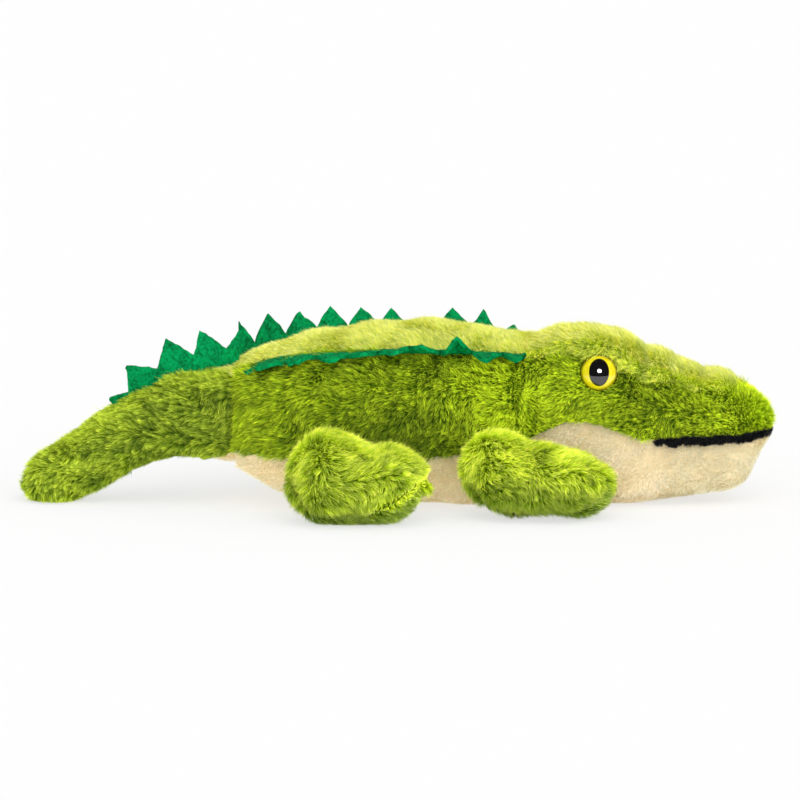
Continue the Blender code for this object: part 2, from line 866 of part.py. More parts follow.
def make_eye(word, side, axis):
    # A dome on a stem: the stem goes through the cloth, and a washer locks it inside.
    sweep = head.sweep_at(eye_place / head_length)
    spot = head.surface(sweep, head.angle_at(sweep, eye_height))
    outward = Vector((0, side * math.cos(eye_tilt), math.sin(eye_tilt)))
    up = Vector((0, -side * math.sin(eye_tilt), math.cos(eye_tilt)))
    forward = up.cross(outward)
    frame = Matrix((forward, up, outward)).transposed().to_4x4()
    seat_place = Vector((spot[0], side * spot[1], spot[2])) - outward * eye_seat_depth

    sag = eye_bulge - eye_flange
    ball_radius = (eye_radius**2 + sag**2) / (2 * sag)
    swing = np.linspace(0, math.asin(eye_radius / ball_radius), turn_steps // 4)
    dome = [
        (ball_radius * math.sin(a), eye_bulge - ball_radius * (1 - math.cos(a))) for a in swing
    ]
    stem = [(eye_radius, 0), (stem_radius, 0), (stem_radius, -stem_length), (0, -stem_length)]
    floor = eye_bulge - pupil_depth
    above = eye_bulge + overrun

    eye = realise(turned("eye_" + word, dome + stem, "eye"))
    recess = ellipse_post(
        "pupil_recess_" + word,
        pupil_half_width + stem_clearance,
        pupil_half_height + stem_clearance,
        floor,
        above,
    )
    pupil = ellipse_post(
        "pupil_" + word, pupil_half_width, pupil_half_height, floor + stem_clearance, above
    )
    lens = realise(turned("dome_tool_" + word, dome + [(eye_radius, 0), (0, 0)]))
    boolean(eye, recess, "DIFFERENCE")
    boolean(pupil, lens, "INTERSECT")
    pupil.data.materials.append(finishes["pupil"])
    toy.objects.link(pupil)
    cutters.objects.link(recess)
    recess.hide_render = True
    recess.display_type = "WIRE"

    hole = stem_radius + stem_clearance
    ring = washer_radius + stem_clearance
    low = washer_depth + washer_thickness
    washer = realise(
        turned(
            "eye_washer_" + word,
            [(washer_radius, -washer_depth), (washer_radius, -low), (hole, -low),
             (hole, -washer_depth)],
            "washer",
            closed=True,
        )
    )
    wide = eye_radius + seam_gap
    seat = realise(
        turned(
            "eye_seat_" + word,
            [(0, above), (wide, above), (wide, -stem_clearance), (hole, -stem_clearance),
             (hole, -washer_depth), (0, -washer_depth)],
        )
    )
    pocket = realise(
        turned(
            "eye_pocket_" + word,
            [(0, above), (ring, above), (ring, -low - stem_clearance), (hole, -low - stem_clearance),
             (hole, -stem_length - stem_clearance), (0, -stem_length - stem_clearance)],
        )
    )
    place = Matrix.Translation(seat_place) @ frame
    for piece in (eye, recess, pupil, lens, washer, seat, pocket):
        piece.matrix_world = place
        piece.parent = axis
        piece.matrix_parent_inverse = Matrix.Translation(axis.location).inverted()
    return seat, pocket


# Tail

def tail_top(x):
    along = (tail_seam_x - x) / tail_length
    return tail.top_at(tail.sweep_at(np.clip(along, 0, 1)))


def make_tail():
    axis = joint_empty("tail_joint", (tail_seam_x, 0, 0))
    sweeps = eased(tail_rings)[:-1]
    outer = loft(
        "tail_outer", tail.rings(sweeps, tail_points), poles=(None, pole_of(tail, 1.0, 0.0))
    )
    cavity = hollow("tail_cavity", tail, sweeps, tail_points, True, False)
    front = tail_seam_x + overrun
    back = tail_seam_x - tail_length - overrun
    wide = tail_half_width + overrun
    above = tail_height + overrun
    patch_end = tail_seam_x - underside_length
    patch_low = tail.table[0, 3]
    seam_xs = np.array([front, tail_seam_x, patch_end])
    seam_zs = np.array([underside_height, underside_height, patch_low])
    side = (
        [(back, above), (back, 0), (patch_end, 0)]
        + list(zip(seam_xs[::-1], seam_zs[::-1] + seam_gap / 2))
        + [(front, above)]
    )
    patch = [(patch_end, 0), (front, 0)] + list(zip(seam_xs, seam_zs - seam_gap / 2))
    right = prism("tail_right_region", side, -wide, -seam_gap / 2)
    left = prism("tail_left_region", side, seam_gap / 2, wide)
    under = prism("underside_region", patch, -wide, wide)
    strip_stop = tail_seam_x - crest_end_margin - tail_crest_length
    slot_xs = np.linspace(front, strip_stop - crest_end_margin, seam_steps // 2)
    slot_low = tail_top(slot_xs) - 2 * core_depth
    slot = prism("tail_crest_slot", strip_outline(slot_xs, slot_low, above), -slot_half, slot_half)

    pieces = [
        cavity,
        right,
        left,
        under,
        slot,
        panel("tail_panel_right", outer, "tail", right, [cavity, slot]),
        panel("tail_panel_left", outer, "tail", left, [cavity, slot]),
        panel("tail_underside", outer, "cream", under, [cavity]),
        make_tail_crest(),
    ]
    bpy.data.objects.remove(outer)
    core, ball = make_core("tail", tail, tail_section, sweeps)
    hang(pieces + [core, ball], axis, in_world=True)


def make_tail_crest():
    # A flat outline that stands in the top seam: its teeth above, and its root in the cloth.
    start = tail_seam_x - crest_end_margin
    teeth = np.array(tail_tooth_shares)
    xs = start - tail_crest_length * teeth[:, 0]
    outline = list(zip(xs, tail_top(xs) + tail_crest_height * teeth[:, 1]))
    root = np.linspace(xs[-1], start, tooth_steps * 2)
    outline += list(zip(root, tail_top(root) - cloth))
    flat = bpy.data.curves.new("tail_crest", "CURVE")
    flat.dimensions = "2D"
    flat.fill_mode = "BOTH"
    flat.extrude = felt / 2
    line = flat.splines.new("POLY")
    line.points.add(len(outline) - 1)
    for knot, (x, z) in zip(line.points, outline):
        knot.co = (x, z, 0, 1)
    line.use_cyclic_u = True
    flat.materials.append(finishes["felt"])
    made = bpy.data.objects.new("tail_crest", flat)
    made.rotation_euler.x = math.pi / 2
    toy.objects.link(made)
    return made


# Legs

class LegPlan:
    # The sizes of one pair of legs.
    def __init__(self, word, table, length, half_width, height, behind, cap, place, plane,
                 pivot_height, plug_radius, sole_height, sole_rise, splay):
        self.word = word
        self.table = table
        self.length = length
        self.half_width = half_width
        self.height = height
        self.behind = behind
        self.cap = cap
        self.place = place
        self.plane = plane
        self.pivot_height = pivot_height
        self.plug_radius = plug_radius
        self.sole_height = sole_height
        self.sole_rise = sole_rise
        self.splay = splay


leg_plans = (
    LegPlan("hind_leg", hind_shares, hind_length, hind_half_width, hind_height, hind_behind,
            hind_cap, hind_place, hind_plane, hind_pivot_height, hind_plug_radius,
            hind_sole_height, hind_sole_rise, hind_splay),
    LegPlan("front_leg", front_shares, front_length, front_half_width, front_height, front_behind,
            front_cap, front_place, front_plane, front_pivot_height, front_plug_radius,
            front_sole_height, front_sole_rise, front_splay),
)


def trunk_skin_at(plan):
    # How far the trunk's cloth lies from the hip's plane.
    along = plan.place / torso_length
    surface = torso.surface(along, torso.angle_at(along, plan.pivot_height))
    return plan.plane - surface[1]


def leg_post(name, plan, side, radius, inner, outer):
    # A post along the hip's axis, in the leg's own frame.
    bpy.ops.mesh.primitive_cylinder_add(vertices=turn_steps, radius=radius, depth=outer - inner)
    made = bpy.context.object
    made.name = made.data.name = name
    for old in list(made.users_collection):
        old.objects.unlink(made)
    cutters.objects.link(made)
    lie = Matrix.Rotation(math.pi / 2, 4, "X")
    move = Matrix.Translation((0, side * (inner + outer) / 2, 0))
    unsplay = Matrix.Rotation(-side * plan.splay, 4, "Z")
    made.data.transform(unsplay @ move @ lie)
    made.hide_render = True
    made.display_type = "WIRE"
    return made


def make_leg(plan, side):
    word = plan.word + ("_right" if side < 0 else "_left")
    pivot = (tail_seam_x + plan.place, side * plan.plane, plan.pivot_height)
    axis = joint_empty(word + "_joint", pivot, side * plan.splay)
    rows = [
        (along, wide, top - plan.pivot_height, low - plan.pivot_height)
        for along, wide, top, low in scaled(plan.table, plan.half_width, plan.height)
    ]
    form = SoftForm(
        plan.length,
        rows,
        [
            (0.0, waist_share * plan.height - plan.pivot_height),
            (1.0, toe_waist_share * plan.height - plan.pivot_height),
        ],
        origin_x=-plan.behind,
        caps=(plan.cap, plan.cap),
        side_shift=side * (plan.half_width + leg_clearance),
    )
    sweeps = eased(leg_rings)[1:-1]
    poles = (pole_of(form, 0.0, 0.0), pole_of(form, 1.0, 0.0))
    outer = loft(word + "_outer", form.rings(sweeps, leg_points), poles=poles)
    cavity = hollow(word + "_cavity", form, sweeps, leg_points, False, False)

    along = np.linspace(-overrun / plan.length, 1 + overrun / plan.length, seam_steps)
    toe = np.clip((along - toe_start_share) / (1 - toe_start_share), 0, 1)
    seam = plan.sole_height + plan.sole_rise * toe**2 - plan.pivot_height
    xs = plan.length * along - plan.behind
    wide = 2 * plan.half_width + overrun
    above = plan.height + overrun
    top = prism(word + "_top_region", strip_outline(xs, seam + seam_gap / 2, above), -wide, wide)
    low = prism(
        word + "_sole_region",
        strip_outline(xs, -plan.pivot_height, seam - seam_gap / 2),
        -wide,
        wide,
    )
    skin = trunk_skin_at(plan)
    inner_end = -(skin + cloth + plug_inner_reach)
    outer_end = leg_clearance + core_depth + plug_outer_reach
    hole = leg_post(
        word + "_armhole", plan, side, plan.plug_radius + seam_gap, -overrun, outer_end
    )
    poles = (pole_of(form, 0.0, core_depth), pole_of(form, 1.0, core_depth))
    rings = form.rings(sweeps, leg_core_points, core_depth)
    core = loft(word + "_stuffing", rings, "filling", poles)
    plug = leg_post(word + "_plug", plan, side, plan.plug_radius, inner_end + seam_gap, outer_end)
    boolean(core, plug, "UNION")
    pieces = [
        cavity,
        top,
        low,
        hole,
        plug,
        core,
        panel(word + "_top", outer, "leg", top, [cavity, hole]),
        panel(word + "_sole", outer, "leg", low, [cavity]),
    ]
    bpy.data.objects.remove(outer)
    socket = leg_post(
        word + "_socket", plan, side, plan.plug_radius + seam_gap, inner_end, overrun
    )
    hang(pieces + [socket], axis)
    return socket


sockets = [make_leg(plan, side) for plan in leg_plans for side in (-1, 1)]
bpy.context.view_layer.update()
make_trunk(sockets)
make_back_crest("back_crest_right", -1, right_crest_lean, crest_wave)
make_back_crest("back_crest_left", 1, left_crest_lean, 0.0)
make_head()
make_tail()
bpy.context.view_layer.update()
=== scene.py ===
# The looks of a plush crocodile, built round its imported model.
# Every panel of pile is a skin plus thousands of curved strands that grow from it.
# Metres, +Z up, head along +X, the toy's right side at -Y.

import math

import bmesh
import bpy
import numpy as np
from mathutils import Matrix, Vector


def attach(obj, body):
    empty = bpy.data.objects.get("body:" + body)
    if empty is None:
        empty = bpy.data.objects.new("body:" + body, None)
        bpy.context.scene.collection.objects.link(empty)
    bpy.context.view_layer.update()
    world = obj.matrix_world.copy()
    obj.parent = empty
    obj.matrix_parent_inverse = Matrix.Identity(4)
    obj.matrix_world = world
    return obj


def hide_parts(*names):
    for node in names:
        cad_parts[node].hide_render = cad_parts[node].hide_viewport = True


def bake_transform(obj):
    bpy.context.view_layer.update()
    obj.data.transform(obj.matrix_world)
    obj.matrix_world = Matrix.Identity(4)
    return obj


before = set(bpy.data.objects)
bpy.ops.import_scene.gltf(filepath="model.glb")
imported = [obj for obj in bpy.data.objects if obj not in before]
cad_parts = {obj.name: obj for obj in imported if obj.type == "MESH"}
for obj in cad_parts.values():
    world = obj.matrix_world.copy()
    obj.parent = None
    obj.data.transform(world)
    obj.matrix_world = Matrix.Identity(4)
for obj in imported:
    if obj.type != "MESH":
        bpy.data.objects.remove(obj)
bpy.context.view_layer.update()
detail = 1.0
scene = bpy.context.scene

# Forms: the same swept shapes as the model's.

trunk = {
    "length": 0.151, "halfWidth": 0.052, "height": 0.0945, "waist": 0.042,
    "tailSeamX": -0.0846, "neckX": 0.0664, "bellySeam": 0.030, "backDrop": 0.0100,
    "collar": 0.0028,
}
neckSize = {"half": 0.040, "top": 0.0835, "bottom": 0.0032}
tailRoot = {"half": 0.025, "top": 0.0695, "bottom": 0.021}
headSize = {
    "length": 0.131, "halfWidth": 0.041, "height": 0.091, "waist": 0.038, "cap": 0.027,
    "mouthStart": 0.069, "mouthHeight": 0.0365, "mouthRise": 0.0018,
}
tailSize = {"length": 0.114, "halfWidth": 0.025, "height": 0.0695, "cap": 0.015, "tipHeight": 0.013}

# Sections are superellipses; these are their powers above and below the waist.
topRound = 2.25
bottomRound = 2.60
# How far every form reaches below its table.
underside = 0.0005

# A form's rows: place along it, half width, top and bottom, as shares of the form's own.
torsoTable = (
    (0.050, 0.670, 0.815, 0.155), (0.120, 0.815, 0.860, 0.090), (0.240, 0.940, 0.930, 0.030),
    (0.360, 0.990, 0.968, 0.000), (0.500, 1.000, 0.995, 0.000), (0.650, 0.955, 1.000, 0.000),
    (0.800, 0.870, 0.983, 0.000), (0.920, 0.838, 0.945, 0.004),
)
headTable = (
    (0.150, 0.985, 0.985, 0.008), (0.300, 1.000, 1.000, 0.000), (0.400, 0.975, 0.968, 0.000),
    (0.470, 0.930, 0.893, 0.012), (0.550, 0.880, 0.858, 0.025), (0.680, 0.820, 0.778, 0.044),
    (0.800, 0.770, 0.745, 0.060), (0.900, 0.740, 0.725, 0.070), (1.000, 0.715, 0.700, 0.075),
)
tailTable = (
    (0.150, 0.900, 0.965, 0.325), (0.270, 0.840, 0.935, 0.345), (0.430, 0.760, 0.830, 0.285),
    (0.520, 0.720, 0.745, 0.225), (0.620, 0.690, 0.645, 0.125), (0.760, 0.670, 0.525, 0.010),
    (0.880, 0.640, 0.420, 0.000), (1.000, 0.600, 0.350, 0.000),
)
hindTable = (
    (0.000, 0.960, 0.930, 0.140), (0.130, 0.985, 0.975, 0.050), (0.260, 1.000, 1.000, 0.000),
    (0.440, 0.985, 0.910, 0.000), (0.580, 0.965, 0.840, 0.000), (0.740, 0.955, 0.850, 0.000),
    (0.880, 0.940, 0.810, 0.030), (1.000, 0.900, 0.740, 0.150),
)
frontTable = (
    (0.000, 0.960, 0.920, 0.260), (0.120, 0.985, 0.980, 0.130), (0.260, 1.000, 0.985, 0.040),
    (0.420, 1.000, 0.905, 0.000), (0.600, 0.990, 0.840, 0.000), (0.800, 0.980, 0.760, 0.000),
    (1.000, 0.940, 0.680, 0.080),
)
# Seams: place along the form, and the share of the height or drop that the seam has there.
bellySeamTable = ((0.00, 0.97), (0.25, 1.03), (0.70, 1.00), (0.90, 1.10), (1.00, 1.20))
backEdgeTable = (
    (0.00, 0.30), (0.12, 0.39), (0.24, 0.64), (0.40, 0.90), (0.60, 1.05), (0.80, 1.00), (1.00, 0.62),
)
crownTable = (
    (0.00, 0.055), (0.12, 0.045), (0.30, 0.060), (0.45, 0.075), (0.55, 0.060), (0.68, 0.040),
    (0.80, 0.025), (0.88, 0.000), (0.94, -0.040), (1.00, -0.120),
)
cheekTable = (
    (0.000, 0.412), (0.090, 0.475), (0.165, 0.522), (0.220, 0.525), (0.290, 0.508), (0.400, 0.455),
    (0.480, 0.415),
)


def unit(v):
    return v / np.maximum(np.linalg.norm(v, axis=-1, keepdims=True), 1e-12)


def ease(low, high, x):
    # Smooth step: 0 below low, 1 above high, 3t^2 - 2t^3 between.
    t = np.clip((x - low) / (high - low), 0, 1)
    return t * t * (3 - 2 * t)


def bump(at, middle, width):
    # A bell: e to the minus square of the distance from the middle, counted in widths.
    return np.exp(-(((at - middle) / width) ** 2))


def fade(at, strength, start, end):
    # 0 up to the start, and the full strength from the end on.
    return strength * ease(start, end, at)


def band(at, strength, middle, width):
    return strength * bump(at, middle, width)


def through(table, at, column=1):
    # A cubic through the table's column, with the slopes that the table itself has.
    table = np.asarray(table, float)
    stations, values = table[:, 0], table[:, column]
    at = np.clip(at, stations[0], stations[-1])
    slopes = np.gradient(values, stations)
    left = np.clip(np.searchsorted(stations, at, side="right") - 1, 0, len(stations) - 2)
    width = stations[left + 1] - stations[left]
    t = (at - stations[left]) / width
    start = (1 + 2 * t) * (1 - t) ** 2 * values[left] + t * (1 - t) ** 2 * width * slopes[left]
    end = t * t * (3 - 2 * t) * values[left + 1] - t * t * (1 - t) * width * slopes[left + 1]
    return start + end


def wander(points, scale, seed, octaves=2):
    # Smooth noise, about -1 to 1: a sum of sine waves in seven random directions, and again
    # with waves half as long and 1.8 times weaker.
    draw = np.random.default_rng(seed)
    total = np.zeros(points.shape[:-1])
    for octave in range(octaves):
        turn = unit(draw.normal(size=(7, 3))).T * (2 * math.pi / scale * 2**octave)
        total += np.sin(points @ turn + draw.uniform(0, 2 * math.pi, 7)).sum(-1) / 2.6 / 1.8**octave
    return total


def scaled(table, halfWidth, height):
    return [(s, w * halfWidth, t * height, b * height - underside) for s, w, t, b in table]


def collared(end):
    # The trunk's end, a collar wider all round than what is sewn to it.
    grown = trunk["collar"]
    return end["half"] + grown, end["top"] + grown, end["bottom"] - grown


# A form's table is in metres. Waists give the height of the widest line by place, caps the
# length of a rounded end, way the direction along X and shift the place across.
torso = {
    "length": trunk["length"],
    "table": [(0.0, *collared(tailRoot)), *scaled(torsoTable, trunk["halfWidth"], trunk["height"]),
              (1.0, *collared(neckSize))],
    "waists": ((0.0, trunk["waist"]), (1.0, trunk["waist"])),
    "originX": trunk["tailSeamX"], "way": 1, "caps": (0.0, 0.0), "shift": 0.0,
}
head = {
    "length": headSize["length"],
    "table": [(0.0, *neckSize.values()), (0.053, 0.0390, 0.0831, 0.0036),
              *scaled(headTable, headSize["halfWidth"], headSize["height"])],
    "waists": ((0.0, trunk["waist"]), (0.3, headSize["waist"]), (1.0, headSize["waist"])),
    "originX": trunk["neckX"], "way": 1, "caps": (0.0, headSize["cap"]), "shift": 0.0,
}
tail = {
    "length": tailSize["length"],
    "table": [(0.0, *tailRoot.values()), (0.075, 0.0233, 0.0691, 0.0214),
              *scaled(tailTable, tailSize["halfWidth"], tailSize["height"])],
    "waists": ((0.0, trunk["waist"]), (0.45, tailSize["height"] / 2), (1.0, tailSize["tipHeight"])),
    "originX": trunk["tailSeamX"], "way": -1, "caps": (0.0, tailSize["cap"]), "shift": 0.0,
}


def sections(form, sweep):
    # Half width, height above and depth below the waist at a sweep of 0 to 1. In a cap the
    # sweep steps by angle, as on a ball.
    first, last = (cap / form["length"] for cap in form["caps"])
    along = np.clip(sweep, 0, 1)
    rounding = np.ones_like(along)
    if first:
        angle = np.clip(1 - along / first, 0, 1) * math.pi / 2
        rounding = np.where(along < first, np.cos(angle), rounding)
        along = np.where(along < first, first * (1 - np.sin(angle)), along)
    if last:
        angle = np.clip((along - 1 + last) / last, 0, 1) * math.pi / 2
        rounding = np.where(along > 1 - last, np.cos(angle), rounding)
        along = np.where(along > 1 - last, 1 - last * (1 - np.sin(angle)), along)
    half, top, bottom = (through(form["table"], along, i) for i in (1, 2, 3))
    waist = np.interp(along, *np.transpose(form["waists"]))
    return along, half * rounding, (top - waist) * rounding, (waist - bottom) * rounding, waist


def formPoint(form, sweep, angle):
    # Across: half width times cosine to the power 2 / roundness. Up: the height above or the
    # depth below the waist times sine to that power. Along: the place that the sweep reaches.
    along, half, up, down, waist = sections(form, sweep)
    cos, sin = np.cos(angle), np.sin(angle)
    power = 2 / np.where(sin > 0, topRound, bottomRound)
    y = half * np.sign(cos) * np.abs(cos) ** power + form["shift"]
    z = waist + np.where(sin > 0, up, down) * np.sign(sin) * np.abs(sin) ** power
    x = form["originX"] + form["way"] * form["length"] * along
    return np.stack(np.broadcast_arrays(x, y, z), axis=-1)


def sweepAt(form, along):
    # The sweep that reaches a place along the form.
    first, last = (cap / form["length"] for cap in form["caps"])
    sweep = np.asarray(along, float)
    if first:
        turn = np.arcsin(np.clip(1 - sweep / first, 0, 1)) / (math.pi / 2)
        sweep = np.where(sweep < first, first * (1 - turn), sweep)
    if last:
        turn = np.arcsin(np.clip(1 - (1 - sweep) / last, 0, 1)) / (math.pi / 2)
        sweep = np.where(sweep > 1 - last, 1 - last * (1 - turn), sweep)
    return sweep


def angleAt(form, sweep, height):
    # The angle on the left side where the section has that height.
    _, _, up, down, waist = sections(form, sweep)
    above = height > waist
    power = np.where(above, topRound, bottomRound) / 2
    reach = np.maximum(np.where(above, up, down), 1e-9)
    share = np.clip(np.abs(height - waist) / reach, 0, 1)
    return np.where(above, 1, -1) * np.arcsin(share**power)


def topAt(form, sweep):
    # The form's height along its top.
    _, _, up, _, waist = sections(form, sweep)
    return waist + up


def backEdge(s):
    return topAt(torso, s) - trunk["backDrop"] * through(backEdgeTable, s)


def bellyEdge(s):
    return trunk["bellySeam"] * through(bellySeamTable, s)


def crownEdge(s):
    return topAt(head, s) - headSize["height"] * through(crownTable, sections(head, s)[0])


def mouthLine(along):
    start = headSize["mouthStart"] / headSize["length"]
    rise = headSize["mouthRise"] * np.clip((along - start) / (1 - start), 0, 1) ** 2
    return headSize["mouthHeight"] + rise


def jawEdge(s):
    along = sections(head, s)[0]
    cheek = headSize["height"] * through(cheekTable, along)
    return np.where(along < headSize["mouthStart"] / headSize["length"], cheek, mouthLine(along))


def sideAngle(form, edge):
    # An edge given as a height, as an angle on the left side.
    return lambda s: angleAt(form, s, edge(s))


def turnOver(edge):
    # The left edge's twin on the right side, counted on over the top.
    return lambda s: math.pi - edge(s)


def turnUnder(edge):
    # The left edge's twin on the right side, counted back under the belly.
    return lambda s: -math.pi - edge(s)


# Panels: a grid over part of a form.

def patch(form, low, high, sweeps, columns, mirror=1, swell=None):
    # Rows run along the form and columns round it, from the low edge to the high edge. Each
    # point moves along its normal by the swell, less so along the toy near an open end. A
    # mirror of -1 puts the panel on the right side.
    s = np.asarray(sweeps, float)[:, None]
    lowAngle, highAngle = low(s), high(s)
    angle = lowAngle + (highAngle - lowAngle) * np.linspace(0, 1, columns)[None, :]
    sweep = np.broadcast_to(s, angle.shape)
    points = formPoint(form, sweep, angle)
    normals = gridNormals(points, form)
    if swell is not None:
        along = sections(form, sweep)[0]
        shift = normals * swell(along, angle, points)[..., None]
        shift[..., 0] *= heldBack(form, along)
        points = points + shift
        normals = gridNormals(points, form)
    flip = np.array([1, mirror, 1])
    return {"points": points * flip, "normals": normals * flip}


endHold = 0.010


def heldBack(form, along):
    # 0 at an open end, which stays in its seam, and 1 a little way in from it.
    share = np.ones_like(along)
    for cap, inside in zip(form["caps"], (along, 1 - along)):
        if not cap:
            share = share * ease(0, endHold / form["length"], inside)
    return share


def gridNormals(points, form):
    # The cross product of the grid's two slopes, turned to point away from the form's axis.
    across = np.gradient(points, axis=0)
    around = np.gradient(points, axis=1)
    normals = unit(np.cross(across, around))
    waist = np.interp(
        np.clip((points[..., 0] - form["originX"]) * form["way"] / form["length"], 0, 1),
        *np.transpose(form["waists"]),
    )
    axis = np.stack([points[..., 0] * 0, points[..., 1] - form["shift"], points[..., 2] - waist], -1)
    middle = unit(axis)
    flip = np.sign((normals * middle).sum(-1).mean()) or 1.0
    lost = np.linalg.norm(normals, axis=-1) < 0.5
    ahead = np.where(np.arange(len(points)) * 2 > len(points), 1.0, -1.0)[:, None, None]
    pole = ahead * np.array([form["way"], 0.0, 0.0])
    return np.where(lost[..., None], np.broadcast_to(pole, normals.shape), normals * flip)


def turned(turn):
    # The matrix of a turn about the upright axis.
    cos, sin = math.cos(turn), math.sin(turn)
    return np.array([[cos, -sin, 0], [sin, cos, 0], [0, 0, 1]])


# Meshes.

def putMesh(name, verts, faces, uv=None, rounded=True):
    # Vertices (n, 3) and faces (m, 3 or 4) straight into a mesh; uv has one pair per corner.
    corners = faces.shape[1]
    mesh = bpy.data.meshes.new(name)
    mesh.vertices.add(len(verts))
    mesh.vertices.foreach_set("co", np.ascontiguousarray(verts, np.float32).ravel())
    mesh.loops.add(faces.size)
    mesh.loops.foreach_set("vertex_index", np.ascontiguousarray(faces, np.int32).ravel())
    mesh.polygons.add(len(faces))
    mesh.polygons.foreach_set("loop_start", np.arange(0, faces.size, corners, dtype=np.int32))
    mesh.update(calc_edges=True)
    if uv is not None:
        layer = mesh.uv_layers.new(name="OFBake")
        layer.uv.foreach_set("vector", np.ascontiguousarray(uv, np.float32).ravel())
    mesh.validate()
    if rounded:
        mesh.shade_smooth()
    made = bpy.data.objects.new(name, mesh)
    scene.collection.objects.link(made)
    return made


def gridFaces(rows, columns, offset=0):
    i, j = np.meshgrid(np.arange(rows - 1), np.arange(columns - 1), indexing="ij")
    a = (i * columns + j).ravel() + offset
    return np.stack([a, a + 1, a + 1 + columns, a + columns], axis=-1)


def gridAreas(p):
    # The area of every four-sided field: half the cross product of its diagonals.
    return np.linalg.norm(np.cross(p[1:, 1:] - p[:-1, :-1], p[1:, :-1] - p[:-1, 1:]), axis=-1) / 2


def shellMesh(name, points, normals, thickness):
    # A closed shell: the grid, the same grid sunk along its normals by the thickness, and a
    # wall round the edge.
    rows, columns = points.shape[:2]
    outer = points.reshape(-1, 3)
    inner = (points - normals * thickness).reshape(-1, 3)
    faces = gridFaces(rows, columns)
    u, v = np.gradient(points, axis=0), np.gradient(points, axis=1)
    facing = (np.cross(v, u) * normals).sum(-1).mean()
    if facing < 0:
        faces = faces[:, ::-1]
    count = rows * columns
    rim = np.concatenate([
        np.arange(columns), np.arange(1, rows) * columns + columns - 1,
        (rows - 1) * columns + np.arange(columns - 2, -1, -1), np.arange(rows - 2, 0, -1) * columns,
    ])
    after = np.roll(rim, -1)
    wall = np.stack([rim, rim + count, after + count, after], axis=-1)
    if facing < 0:
        wall = wall[:, ::-1]
    made = putMesh(name, np.concatenate([outer, inner]),
                   np.concatenate([faces, faces[:, ::-1] + count, wall]))
    weldMesh(made)
    made.data.set_sharp_from_angle(angle=math.radians(55))
    return made


def weldMesh(made, facedOut=False):
    # Joins the points that meet at a pole, and can turn every face outward.
    shape = bmesh.new()
    shape.from_mesh(made.data)
    bmesh.ops.remove_doubles(shape, verts=shape.verts, dist=2e-6)
    if facedOut:
        bmesh.ops.recalc_face_normals(shape, faces=shape.faces)
    shape.to_mesh(made.data)
    shape.free()
    made.data.shade_smooth()
    return made


# Pile: curved strands that grow from a patch.

# What all strands share. A spread is a standard deviation, a part a share of the length.
strand = {
    "shortest": 0.15, "lengthSpread": 0.22, "lengthLimits": (0.45, 1.6), "bendPart": 0.50,
    "tipPart": 0.55, "warp": 0.35, "gatherSpread": 0.3, "gatherLimits": (0.2, 1.5),
    "bendGather": 0.35, "floorGap": 0.0004, "ownTone": 0.16, "tuftTone": 0.20, "gapShade": 0.22,
    "roll": 55, "bendWidth": 0.92, "mapEdge": 0.01, "nudge": 0.003,
}
# Turns a tuft's three cell numbers into one.
cellKeys = np.array([1, 10007, 100160063])


